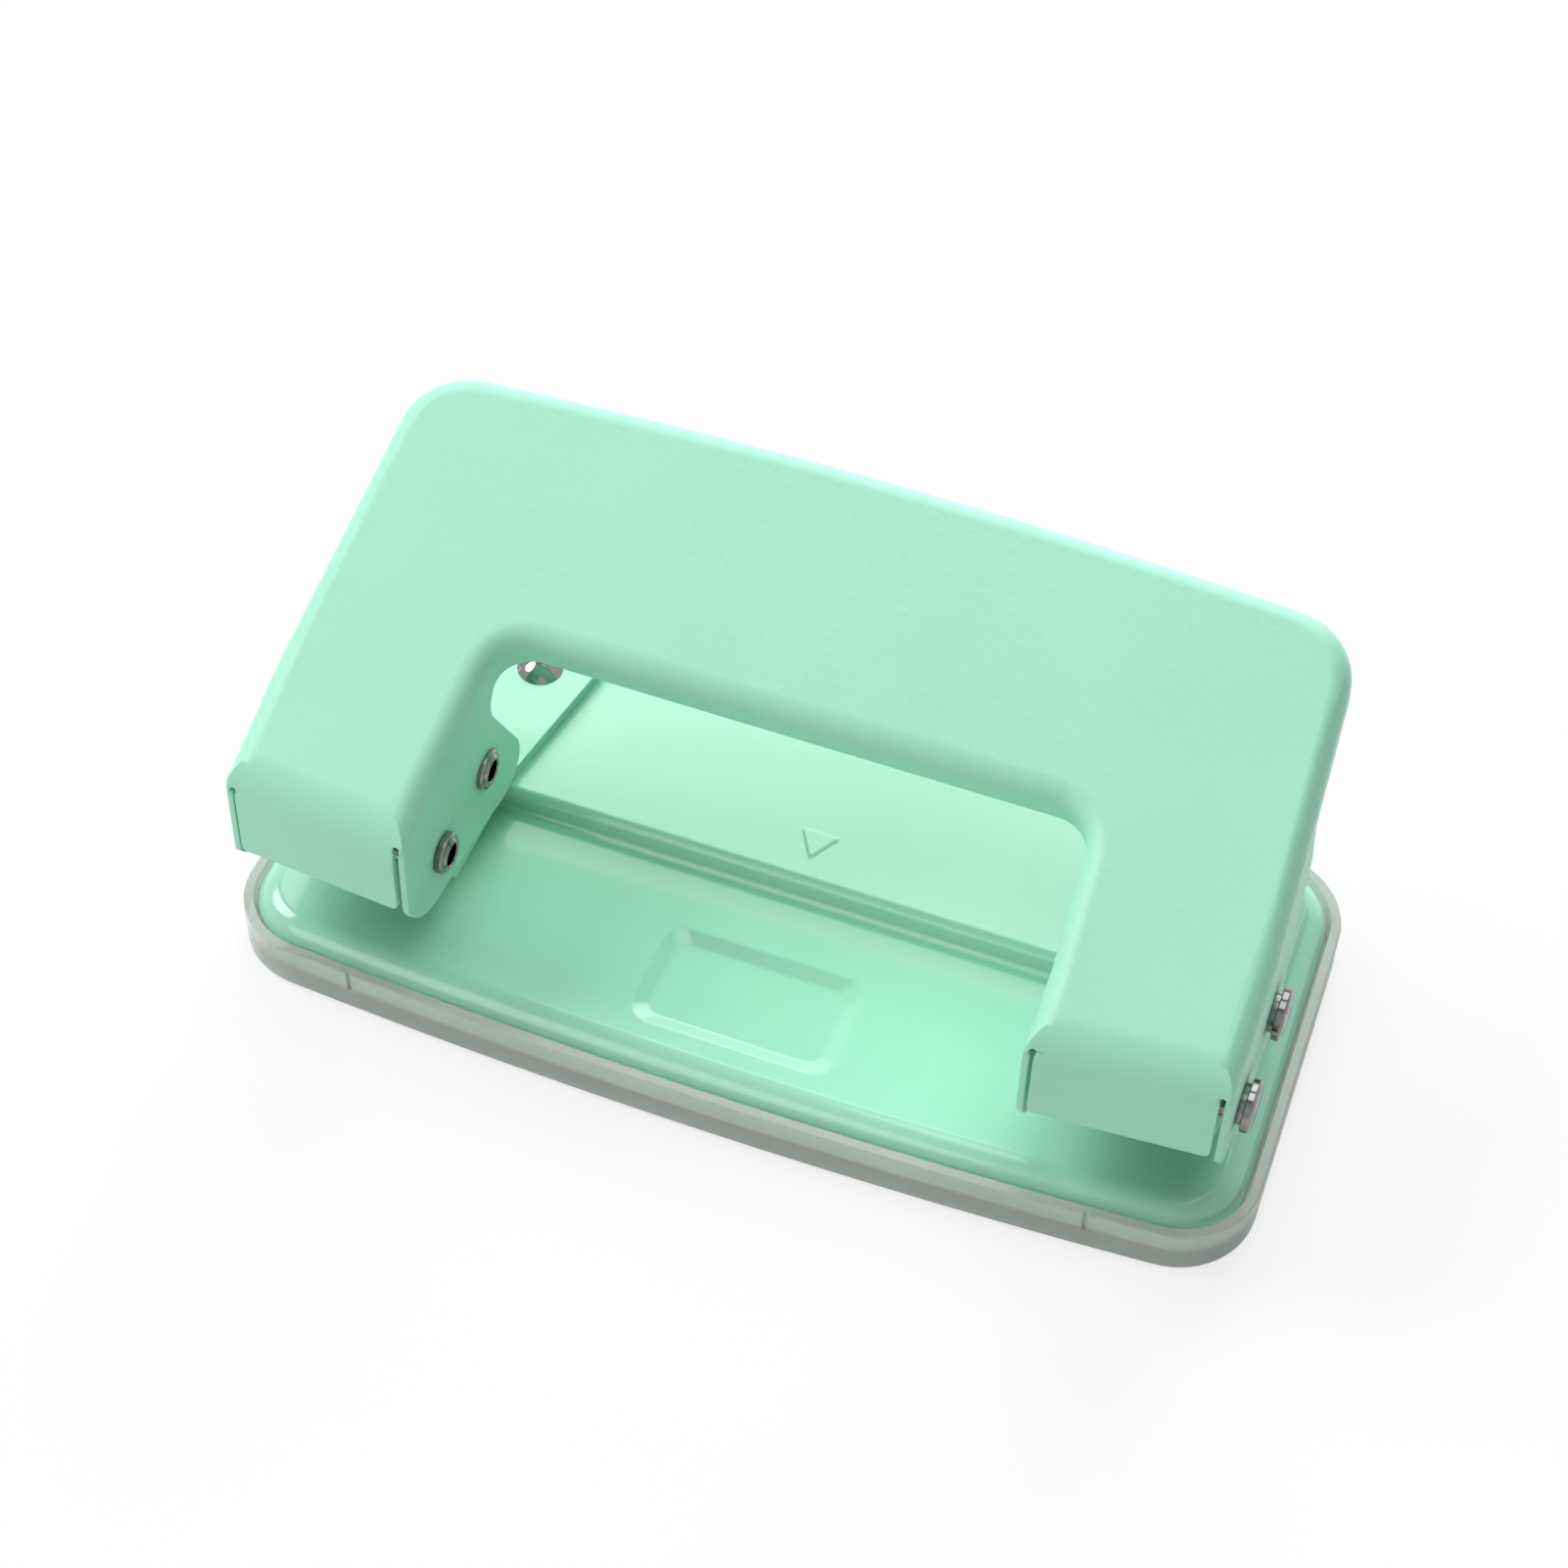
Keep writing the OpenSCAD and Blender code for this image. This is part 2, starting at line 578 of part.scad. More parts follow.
base_plate();
chip_tray();
left_bracket();
right_bracket();
left_inner_rivet();
left_outer_rivet();
right_inner_rivet();
right_outer_rivet();
lever();
left_pivot_pin();
right_pivot_pin();
left_drive_pin();
right_drive_pin();
left_pivot_ring();
right_pivot_ring();
left_drive_ring();
right_drive_ring();
left_punch();
right_punch();
left_clip();
right_clip();
left_spring();
right_spring();
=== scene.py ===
import math

import bmesh
import bpy
from mathutils import Matrix, Vector


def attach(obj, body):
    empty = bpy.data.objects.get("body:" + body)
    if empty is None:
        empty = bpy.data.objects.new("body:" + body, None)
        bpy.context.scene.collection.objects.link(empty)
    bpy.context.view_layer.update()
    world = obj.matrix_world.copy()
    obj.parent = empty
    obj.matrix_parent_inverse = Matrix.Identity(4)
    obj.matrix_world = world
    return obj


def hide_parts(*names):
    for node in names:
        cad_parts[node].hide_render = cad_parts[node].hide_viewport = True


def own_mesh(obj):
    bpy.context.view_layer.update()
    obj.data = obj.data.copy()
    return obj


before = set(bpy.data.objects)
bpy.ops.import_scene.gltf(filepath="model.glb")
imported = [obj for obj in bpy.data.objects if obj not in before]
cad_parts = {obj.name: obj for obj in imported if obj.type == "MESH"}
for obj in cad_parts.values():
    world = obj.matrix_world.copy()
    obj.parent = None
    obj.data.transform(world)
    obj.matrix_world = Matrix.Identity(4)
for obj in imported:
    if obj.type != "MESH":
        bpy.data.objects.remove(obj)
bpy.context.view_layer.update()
mm = 0.001          # pieces are shaped in millimetres and scaled down when finished
near = 1e-4         # places closer than this are the same
flush = 0.02        # as near, after cuts that shift corners a little
slack = 0.05
weld = 0.002        # corners closer than this are joined
facing = 0.9        # a normal this far along an axis faces it
far = 60            # tools run this far past the piece
scene = bpy.context.scene
scene.view_settings.view_transform = 'Standard'


# handling of objects and selections

def useOnly(piece):
    if bpy.context.object and bpy.context.object.mode != 'OBJECT':
        bpy.ops.object.mode_set(mode='OBJECT')
    bpy.ops.object.select_all(action='DESELECT')
    bpy.context.view_layer.objects.active = piece
    piece.select_set(True)


def openEdit(piece):
    useOnly(piece)
    bpy.ops.object.mode_set(mode='EDIT')


def closeEdit():
    bpy.ops.object.mode_set(mode='OBJECT')


def pick(piece, kind, test):
    bpy.ops.mesh.select_mode(type=kind)
    bpy.ops.mesh.select_all(action='DESELECT')
    cage = bmesh.from_edit_mesh(piece.data)
    rows = {'VERT': cage.verts, 'EDGE': cage.edges, 'FACE': cage.faces}[kind]
    count = 0
    for item in rows:
        if test(item):
            item.select_set(True)
            count += 1
    cage.select_flush_mode()
    bmesh.update_edit_mesh(piece.data)
    return count


def bevelPicked(piece, width, steps, kind='EDGE', test=None):
    affect = 'VERTICES' if kind == 'VERT' else 'EDGES'
    if pick(piece, kind, test):
        bpy.ops.mesh.bevel(offset=width, segments=steps, affect=affect, profile=0.5)


def applyModifier(piece, kind, **settings):
    useOnly(piece)
    step = piece.modifiers.new('step', kind)
    for key, value in settings.items():
        setattr(step, key, value)
    bpy.ops.object.modifier_apply(modifier=step.name)


def carve(piece, tool, how='DIFFERENCE'):
    applyModifier(piece, 'BOOLEAN', object=tool, operation=how, solver='EXACT')
    bpy.data.objects.remove(tool, do_unlink=True)


def settle(piece, place=(0, 0, 0), turn=(0, 0, 0), size=1.0):
    piece.location = place
    piece.rotation_euler = turn
    piece.scale = (size, size, size)
    useOnly(piece)
    bpy.ops.object.transform_apply(location=True, rotation=True, scale=True)


def outwards(piece):
    openEdit(piece)
    bpy.ops.mesh.select_all(action='SELECT')
    bpy.ops.mesh.normals_make_consistent(inside=False)
    closeEdit()


def copyOf(piece, name):
    twin = piece.copy()
    twin.data = piece.data.copy()
    twin.name = name
    bpy.context.collection.objects.link(twin)
    return twin


def mirrored(piece, name):
    twin = copyOf(piece, name)
    twin.scale = (-1, 1, 1)
    useOnly(twin)
    bpy.ops.object.transform_apply(location=True, rotation=True, scale=True)
    outwards(twin)
    return twin


def smoothShade(piece, angle=30):
    useOnly(piece)
    bpy.ops.object.shade_smooth_by_angle(angle=math.radians(angle))
    applyModifier(piece, 'WEIGHTED_NORMAL', keep_sharp=True, weight=80)


def finishPiece(piece, body, slotName, materials, *nodes):
    settle(piece, size=mm)
    piece.data.materials.clear()
    for material in materials:
        piece.data.materials.append(material)
    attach(piece, body)
    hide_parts(*nodes)
    print('piece', piece.name, len(piece.data.polygons), 'faces')


# starting shapes

def arcPoints(cx, cy, r, start, end, count):
    turns = [math.radians(start + (end - start) * i / count) for i in range(count + 1)]
    return [(cx + r * math.cos(a), cy + r * math.sin(a)) for a in turns]


def outlineBlock(name, outline, low, high, axis='Z'):
    # a filled circle whose corners are drawn to the outline, then extruded
    useOnly(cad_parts["lever"])
    bpy.ops.mesh.primitive_circle_add(vertices=len(outline), radius=1, fill_type='NGON')
    piece = bpy.context.object
    piece.name = name
    bpy.ops.object.mode_set(mode='EDIT')
    cage = bmesh.from_edit_mesh(piece.data)
    cage.verts.ensure_lookup_table()
    for corner, (a, b) in zip(cage.verts, outline):
        corner.co = (a, b, low) if axis == 'Z' else (low, a, b)
    bmesh.update_edit_mesh(piece.data)
    bpy.ops.mesh.select_all(action='SELECT')
    step = (0, 0, high - low) if axis == 'Z' else (high - low, 0, 0)
    bpy.ops.mesh.extrude_region_move(TRANSFORM_OT_translate={"value": step})
    bpy.ops.mesh.select_all(action='SELECT')
    bpy.ops.mesh.normals_make_consistent(inside=False)
    bpy.ops.object.mode_set(mode='OBJECT')
    return piece


def boxBlock(name, low, high):
    outline = [(low[0], low[1]), (high[0], low[1]), (high[0], high[1]), (low[0], high[1])]
    return outlineBlock(name, outline, low[2], high[2])


def turnedPiece(name, rings, steps=48):
    # a circle extruded from ring to ring, as on a lathe; each ring is (radius, height)
    useOnly(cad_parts["lever"])
    bpy.ops.mesh.primitive_circle_add(vertices=steps, radius=rings[0][0], fill_type='NGON',
                                      location=(0, 0, rings[0][1]))
    piece = bpy.context.object
    piece.name = name
    useOnly(piece)
    bpy.ops.object.transform_apply(location=True, rotation=True, scale=True)
    bpy.ops.object.mode_set(mode='EDIT')
    bpy.ops.mesh.select_all(action='SELECT')
    for (r0, z0), (r1, z1) in zip(rings, rings[1:]):
        bpy.ops.mesh.extrude_region_move(TRANSFORM_OT_translate={"value": (0, 0, z1 - z0)})
        bpy.ops.transform.resize(value=(r1 / r0, r1 / r0, 1), center_override=(0, 0, z1))
    bpy.ops.mesh.select_all(action='SELECT')
    bpy.ops.mesh.normals_make_consistent(inside=False)
    bpy.ops.object.mode_set(mode='OBJECT')
    return piece


def dressedCopy(node, name, width, steps=2, corners=()):
    # the CAD solid with its triangles joined, side-view corners cut off and its edges broken
    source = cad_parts[node]
    piece = bpy.data.objects.new(name, source.data.copy())
    bpy.context.collection.objects.link(piece)
    settle(piece, size=1 / mm)
    openEdit(piece)
    bpy.ops.mesh.select_all(action='SELECT')
    bpy.ops.mesh.remove_doubles(threshold=weld)
    bpy.ops.mesh.dissolve_limited(angle_limit=math.radians(1))
    closeEdit()
    reach = [v.co.x for v in piece.data.vertices]
    for corner in corners:
        carve(piece, outlineBlock('cornerTool', corner, min(reach) - 1, max(reach) + 1, 'X'))
    applyModifier(piece, 'BEVEL', width=width, segments=steps, limit_method='ANGLE',
                  angle_limit=math.radians(35), use_clamp_overlap=True)
    smoothShade(piece, 35)
    return piece


# effects shared by the materials

def newGroup(name, inputs, outputs):
    group = bpy.data.node_groups.new(name, 'ShaderNodeTree')
    for label, kind, value in inputs:
        socket = group.interface.new_socket(label, in_out='INPUT', socket_type=kind)
        socket.default_value = value
    for label, kind in outputs:
        group.interface.new_socket(label, in_out='OUTPUT', socket_type=kind)
    return group, group.nodes.new('NodeGroupInput'), group.nodes.new('NodeGroupOutput')


def makeGrain():
    # fine lumps of a sprayed coat: height for bump, and a mask of its high spots
    group, given, result = newGroup('coatGrain', [
        ('Scale', 'NodeSocketFloat', 900.0), ('Depth', 'NodeSocketFloat', 1.0)],
        [('Height', 'NodeSocketFloat'), ('Mask', 'NodeSocketFloat')])
    nodes, links = group.nodes, group.links
    where = nodes.new('ShaderNodeTexCoord')
    fine = nodes.new('ShaderNodeTexNoise')
    fine.inputs['Detail'].default_value = 3.0
    fine.inputs['Roughness'].default_value = 0.62
    lumps = nodes.new('ShaderNodeTexVoronoi')
    lumps.feature = 'SMOOTH_F1'
    blend = nodes.new('ShaderNodeMath')
    blend.operation = 'MULTIPLY_ADD'
    blend.inputs[1].default_value = -0.45
    deep = nodes.new('ShaderNodeMath')
    deep.operation = 'MULTIPLY'
    links.new(where.outputs['Object'], fine.inputs['Vector'])
    links.new(where.outputs['Object'], lumps.inputs['Vector'])
    links.new(given.outputs['Scale'], fine.inputs['Scale'])
    links.new(given.outputs['Scale'], lumps.inputs['Scale'])
    links.new(lumps.outputs['Distance'], blend.inputs[0])
    links.new(fine.outputs['Fac'], blend.inputs[2])
    links.new(blend.outputs['Value'], deep.inputs[0])
    links.new(given.outputs['Depth'], deep.inputs[1])
    links.new(deep.outputs['Value'], result.inputs['Height'])
    links.new(fine.outputs['Fac'], result.inputs['Mask'])
    return group


def makeMottle():
    # slow drift between two shades of one colour
    group, given, result = newGroup('coatMottle', [
        ('Shade A', 'NodeSocketColor', (1, 1, 1, 1)), ('Shade B', 'NodeSocketColor', (1, 1, 1, 1)),
        ('Scale', 'NodeSocketFloat', 40.0)], [('Color', 'NodeSocketColor'), ('Mask', 'NodeSocketFloat')])
    nodes, links = group.nodes, group.links
    where = nodes.new('ShaderNodeTexCoord')
    cloud = nodes.new('ShaderNodeTexNoise')
    cloud.inputs['Detail'].default_value = 4.0
    spread = nodes.new('ShaderNodeMapRange')
    spread.inputs['From Min'].default_value = 0.3
    spread.inputs['From Max'].default_value = 0.7
    mix = nodes.new('ShaderNodeMix')
    mix.data_type = 'RGBA'
    links.new(where.outputs['Object'], cloud.inputs['Vector'])
    links.new(given.outputs['Scale'], cloud.inputs['Scale'])
    links.new(cloud.outputs['Fac'], spread.inputs['Value'])
    links.new(spread.outputs['Result'], mix.inputs[0])
    links.new(given.outputs['Shade A'], mix.inputs[6])
    links.new(given.outputs['Shade B'], mix.inputs[7])
    links.new(mix.outputs[2], result.inputs['Color'])
    links.new(spread.outputs['Result'], result.inputs['Mask'])
    return group


def makeLines():
    # fine drawn or ground lines along one direction of the piece
    group, given, result = newGroup('groundLines', [
        ('Along', 'NodeSocketVector', (1, 1, 1)), ('Scale', 'NodeSocketFloat', 600.0)],
        [('Height', 'NodeSocketFloat'), ('Mask', 'NodeSocketFloat')])
    nodes, links = group.nodes, group.links
    where = nodes.new('ShaderNodeTexCoord')
    stretch = nodes.new('ShaderNodeVectorMath')
    stretch.operation = 'MULTIPLY'
    noise = nodes.new('ShaderNodeTexNoise')
    noise.inputs['Detail'].default_value = 5.0
    spread = nodes.new('ShaderNodeMapRange')
    spread.inputs['From Min'].default_value = 0.35
    spread.inputs['From Max'].default_value = 0.65
    links.new(where.outputs['Object'], stretch.inputs[0])
    links.new(given.outputs['Along'], stretch.inputs[1])
    links.new(stretch.outputs['Vector'], noise.inputs['Vector'])
    links.new(given.outputs['Scale'], noise.inputs['Scale'])
    links.new(noise.outputs['Fac'], spread.inputs['Value'])
    links.new(noise.outputs['Fac'], result.inputs['Height'])
    links.new(spread.outputs['Result'], result.inputs['Mask'])
    return group


grainGroup = makeGrain()
mottleGroup = makeMottle()
linesGroup = makeLines()


def newMaterial(name, **sockets):
    material = bpy.data.materials.new(name)
    material.use_nodes = True
    shader = material.node_tree.nodes['Principled BSDF']
    for label, value in sockets.items():
        shader.inputs[label.replace('_', ' ')].default_value = value
    return material, material.node_tree.nodes, material.node_tree.links, shader


def placeGroup(nodes, group, **values):
    node = nodes.new('ShaderNodeGroup')
    node.node_tree = group
    for label, value in values.items():
        node.inputs[label.replace('_', ' ')].default_value = value
    return node


def spreadTo(nodes, links, source, low, high, target):
    spread = nodes.new('ShaderNodeMapRange')
    spread.inputs['To Min'].default_value = low
    spread.inputs['To Max'].default_value = high
    links.new(source, spread.inputs['Value'])
    links.new(spread.outputs['Result'], target)


def bumpFrom(nodes, links, source, strength, distance, target):
    bump = nodes.new('ShaderNodeBump')
    bump.inputs['Strength'].default_value = strength
    bump.inputs['Distance'].default_value = distance
    links.new(source, bump.inputs['Height'])
    links.new(bump.outputs['Normal'], target)


def dress(nodes, links, shader, look, texture):
    # colour drifts between two shades; the texture breaks up the roughness and lifts the surface
    mottle = placeGroup(nodes, mottleGroup, Shade_A=look['light'] + (1,), Shade_B=look['dark'] + (1,),
                        Scale=look['mottle'])
    links.new(mottle.outputs['Color'], shader.inputs['Base Color'])
    low, high = look['rough']
    spreadTo(nodes, links, texture.outputs['Mask'], low, high, shader.inputs['Roughness'])
    bumpFrom(nodes, links, texture.outputs['Height'], look['bump'], look['depth'], shader.inputs['Normal'])


coatLook = {
    'leverCoat': dict(light=(0.385, 0.80, 0.615), dark=(0.36, 0.77, 0.585), mottle=55.0, grain=1200.0,
                      bump=0.5, depth=0.00008, rough=(0.40, 0.56), gloss=(0.0, 0.03)),
    # the sheet's cut edges take a lighter copy of the lever coat: a painted highlight along the edges
    'paintedEdgeHighlight': dict(light=(0.52, 0.86, 0.70), dark=(0.45, 0.81, 0.64), mottle=160.0, grain=1500.0,
                      bump=0.25, depth=0.00005, rough=(0.32, 0.46), gloss=(0.0, 0.03)),
    'baseEnamel': dict(light=(0.395, 0.815, 0.630), dark=(0.375, 0.795, 0.605), mottle=40.0, grain=260.0,
                       bump=0.10, depth=0.00006, rough=(0.16, 0.24), gloss=(0.5, 0.06)),
}


def makeCoat(name):
    look = coatLook[name]
    gloss = dict(Coat_Weight=look['gloss'][0], Coat_Roughness=look['gloss'][1])
    material, nodes, links, shader = newMaterial(name, Metallic=0.0, IOR=1.5, **gloss)
    grain = placeGroup(nodes, grainGroup, Scale=look['grain'], Depth=1.0)
    dress(nodes, links, shader, look, grain)
    return material


metalLook = {
    # chrome drawn well below its own colour: a painted dark reflection
    'brightMetal': dict(light=(0.44, 0.44, 0.44), dark=(0.30, 0.30, 0.31), along=(1.0, 1.0, 1.0),
                        lines=900.0, mottle=420.0, bump=0.05, depth=0.00002, rough=(0.07, 0.16)),
    # a still darker copy of the same chrome for the pins and rings: painted shade
    'paintedShadeChrome': dict(light=(0.30, 0.31, 0.30), dark=(0.17, 0.18, 0.175), along=(1.0, 1.0, 1.0),
                        lines=900.0, mottle=420.0, bump=0.05, depth=0.00002, rough=(0.07, 0.16)),
    'toolSteel': dict(light=(0.56, 0.56, 0.58), dark=(0.42, 0.42, 0.45), along=(1.0, 1.0, 14.0),
                      lines=500.0, mottle=420.0, bump=0.12, depth=0.00003, rough=(0.18, 0.34)),
    'springSteel': dict(light=(0.50, 0.50, 0.52), dark=(0.34, 0.34, 0.37), along=(1.0, 1.0, 5.0),
                        lines=900.0, mottle=420.0, bump=0.10, depth=0.00003, rough=(0.22, 0.40)),
}


def makeMetal(name):
    look = metalLook[name]
    material, nodes, links, shader = newMaterial(name, Metallic=1.0)
    lines = placeGroup(nodes, linesGroup, Along=look['along'], Scale=look['lines'])
    dress(nodes, links, shader, look, lines)
    return material


trayLook = dict(light=(0.87, 0.94, 0.89), dark=(0.79, 0.87, 0.81), mottle=90.0, grain=700.0,
                bump=0.06, depth=0.00005, rough=(0.10, 0.22), ior=1.46, clear=0.6)


def makeClear():
    clear = dict(IOR=trayLook['ior'], Transmission_Weight=trayLook['clear'])
    material, nodes, links, shader = newMaterial('clearPlastic', Metallic=0.0, **clear)
    grain = placeGroup(nodes, grainGroup, Scale=trayLook['grain'], Depth=1.0)
    dress(nodes, links, shader, trayLook, grain)
    return material


leverCoat, paintedEdgeHighlight, baseEnamel = [makeCoat(name) for name in coatLook]
brightMetal, paintedShadeChrome, toolSteel, springSteel = [makeMetal(name) for name in metalLook]
clearPlastic = makeClear()
print('materials ready')


# places that several pieces share, in millimetres

armX = 40.0
armWidth = 19.2
pivotY, pivotZ = -16.9314, 20.4
driveY, driveZ = -7.06857, 22.0505
punchY = -7.0
plateZ = 10.8
rivetY = 16.3
rivetX = dict(inner=34.8, outer=44.0)

baseForm = dict(halfWidth=51.2, halfDepth=23.8, bow=2.0, corner=7.0, taper=0.028, foot=2.6, front=7.0,
                rim=2.6, rimSteps=9, sheet=1.0, stop=0.4, stopRound=0.5, table=9.4, tableInset=2.1,
                tableSunk=1.2, tableRound=0.8, draft=0.5, dieHole=3.05, rivetHole=1.52)


def drawnIn(points):
    form = baseForm
    return [(x * (1 - form['taper'] * y / form['halfWidth']), y) for x, y in points]


def mirrorHalf(right):
    return right + [(-x, y) for x, y in reversed(right) if x > near]


def bowAt(x, inset):
    form = baseForm
    return -form['halfDepth'] + inset + form['bow'] * (x / form['halfWidth']) ** 2


def basePlan(inset):
    # outline of base and tray, seen from above
    form = baseForm
    wide = form['halfWidth'] - inset
    r = form['corner'] - inset
    back = form['halfDepth'] - inset
    lean = math.degrees(math.atan(2 * form['bow'] * (wide - r) / form['halfWidth'] ** 2))
    xs = wide - r + r * math.sin(math.radians(lean))
    cy = bowAt(xs, inset) + r * math.cos(math.radians(lean))
    right = [(xs * i / 16, bowAt(xs * i / 16, inset)) for i in range(17)]
    right += arcPoints(wide - r, cy, r, -90 + lean, 0, 14)[1:]
    right += arcPoints(wide - r, back - r, r, 0, 90, 14)
    return drawnIn(mirrorHalf(right))


def tablePlan(inset):
    form = baseForm
    wide = form['halfWidth'] - form['tableInset'] - inset
    back = form['halfDepth'] - form['tableInset'] - inset
    r = form['corner'] - form['tableInset'] - inset
    right = [(wide, form['stop'] + inset)] + arcPoints(wide - r, back - r, r, 0, 90, 12)
    return drawnIn(mirrorHalf(right))


# pressed base

def pressing(name, shrink, low):
    form = baseForm
    top = form['front'] - shrink
    piece = outlineBlock(name, basePlan(shrink), low, top)
    openEdit(piece)
    bevelPicked(piece, form['rim'] - shrink, form['rimSteps'],
                test=lambda e: all(abs(v.co.z - top) < near for v in e.verts))
    closeEdit()
    return piece


def tableBlock(name, shrink):
    form = baseForm
    low, top = form['front'] - shrink - form['tableSunk'], form['table'] - shrink
    piece = outlineBlock(name, tablePlan(shrink), low, form['front'] - shrink)
    openEdit(piece)
    pick(piece, 'FACE', lambda f: f.normal.z > facing)
    bpy.ops.mesh.extrude_region_move(TRANSFORM_OT_translate={"value": (0, 0, top - form['front'] + shrink)})
    cage = bmesh.from_edit_mesh(piece.data)
    ring = [v for v in cage.verts if v.select]
    wide = max(v.co.x for v in ring)
    mid = (min(v.co.y for v in ring) + max(v.co.y for v in ring)) / 2
    deep = max(v.co.y for v in ring) - mid
    share = ((wide - form['draft']) / wide, (deep - form['draft']) / deep, 1)
    bpy.ops.transform.resize(value=share, center_override=(0, mid, top))
    if not shrink:
        bevelPicked(piece, form['tableRound'], 5,
                    test=lambda e: all(abs(v.co.z - top) < near for v in e.verts))
    closeEdit()
    return piece


fieldForm = dict(width=21.2, depth=12.2, sink=0.6, corner=2.0, lean=1.5, rear=-7.2, soften=0.18, air=2)


def fieldTool():
    form = fieldForm
    top = baseForm['front']
    r = form['corner']
    dx, dy = form['width'] / 2 - r, form['depth'] / 2 - r
    y = form['rear'] - form['depth'] / 2
    outline = (arcPoints(dx, y + dy, r, 0, 90, 6) + arcPoints(-dx, y + dy, r, 90, 180, 6)
               + arcPoints(-dx, y - dy, r, 180, 270, 6) + arcPoints(dx, y - dy, r, 270, 360, 6))
    piece = outlineBlock('fieldTool', outline, top, top + form['air'])
    openEdit(piece)
    pick(piece, 'FACE', lambda f: f.normal.z < -facing)
    share = (1 - 2 * form['lean'] / form['width'], 1 - 2 * form['lean'] / form['depth'], 1)
    bpy.ops.mesh.extrude_region_move(TRANSFORM_OT_translate={"value": (0, 0, -form['sink'])})
    bpy.ops.transform.resize(value=share, center_override=(0, y, top))
    closeEdit()
    return piece


markForm = dict(side=6.4, y=6.1, sunk=0.2, high=0.38, crown=0.58, corner=0.9, soften=0.15)


def markBlock():
    form = markForm
    top = baseForm['table']
    useOnly(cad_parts["lever"])
    bpy.ops.mesh.primitive_circle_add(vertices=3, radius=form['side'] / math.sqrt(3), fill_type='NGON',
                                      location=(0, form['y'], top - form['sunk']))
    piece = bpy.context.object
    piece.name = 'markBlock'
    piece.rotation_euler.z = math.pi      # its point faces the paper
    useOnly(piece)
    bpy.ops.object.transform_apply(location=True, rotation=True, scale=True)
    openEdit(piece)
    bevelPicked(piece, form['corner'], 6, 'VERT', lambda v: True)
    bpy.ops.mesh.select_all(action='SELECT')
    bpy.ops.mesh.extrude_region_move(TRANSFORM_OT_translate={"value": (0, 0, form['high'])})
    bpy.ops.transform.resize(value=(form['crown'], form['crown'], 1), center_override=(0, form['y'], top))
    bpy.ops.mesh.select_all(action='SELECT')
    bpy.ops.mesh.normals_make_consistent(inside=False)
    bevelPicked(piece, form['soften'], 3, test=lambda e: all(v.co.z > top + 0.1 for v in e.verts))
    closeEdit()
    return piece


def roundTool(name, r, x, y, low, high):
    piece = turnedPiece(name, [(r, low), (r, high)])
    settle(piece, place=(x, y, 0))
    return piece


def makeBase():
    form = baseForm
    piece = pressing('basePressing', 0, form['foot'])
    carve(piece, tableBlock('tableBlock', 0), 'UNION')
    carve(piece, markBlock(), 'UNION')
    carve(piece, pressing('innerPressing', form['sheet'], form['foot'] - 1))
    carve(piece, tableBlock('innerTable', form['sheet']))
    carve(piece, fieldTool())
    for side in (-1, 1):
        carve(piece, roundTool('dieTool', form['dieHole'], side * armX, punchY, 1, 9))
        for x in (rivetX['outer'], rivetX['inner']):
            carve(piece, roundTool('rivetTool', form['rivetHole'], side * x, rivetY, 1, 12))
    openEdit(piece)
    bpy.ops.mesh.select_all(action='SELECT')
    bpy.ops.mesh.remove_doubles(threshold=weld)
    front = form['front']
    field = fieldForm

    def stopFoot(edge):
        return all(abs(v.co.z - front) < flush and abs(v.co.y - form['stop']) < slack for v in edge.verts)

    def inField(v, level):
        across = abs(v.co.x) < field['width'] / 2 + slack
        along = abs(v.co.y - field['rear'] + field['depth'] / 2) < field['depth'] / 2 + slack
        return across and along and abs(v.co.z - level) < flush

    bevelPicked(piece, form['stopRound'], 4, test=stopFoot)
    for level in (front, front - field['sink']):
        bevelPicked(piece, field['soften'], 3, test=lambda e: all(inField(v, level) for v in e.verts))
    closeEdit()
    smoothShade(piece, 32)
    finishPiece(piece, 'base', 'base_coat', [baseEnamel], 'base_plate')
    return piece


makeBase()


# clear tray

trayForm = dict(gap=0.3, wall=1.1, floor=1.2, high=5.6, ledge=2.5, foot=0.7, room=2.0, above=9, rib=38.3,
                ribWide=0.4, ribDeep=0.45, ribHigh=2.6, soften=0.16)


def makeTray():
    form = trayForm
    out = -form['gap'] - form['wall']
    piece = outlineBlock('trayShell', basePlan(out), 0, form['high'])
    openEdit(piece)
    bevelPicked(piece, form['foot'], 5, test=lambda e: all(v.co.z < near for v in e.verts))
    closeEdit()
    carve(piece, outlineBlock('seatTool', basePlan(-form['gap']), form['ledge'], form['above']))
    carve(piece, outlineBlock('roomTool', basePlan(form['room']), form['floor'], form['above']))
    y = bowAt(form['rib'], out)
    for side in (-1, 1):
        low = (side * form['rib'] - form['ribWide'] / 2, y - 1, form['high'] - form['ribHigh'])
        high = (side * form['rib'] + form['ribWide'] / 2, y + form['ribDeep'], form['above'])
        carve(piece, boxBlock('ribTool', low, high))
    applyModifier(piece, 'BEVEL', width=form['soften'], segments=3, limit_method='ANGLE',
                  angle_limit=math.radians(40))
    smoothShade(piece, 32)
    finishPiece(piece, 'tray', 'clear_tray', [clearPlastic], 'chip_tray')
    return piece


makeTray()


# lever of bent sheet

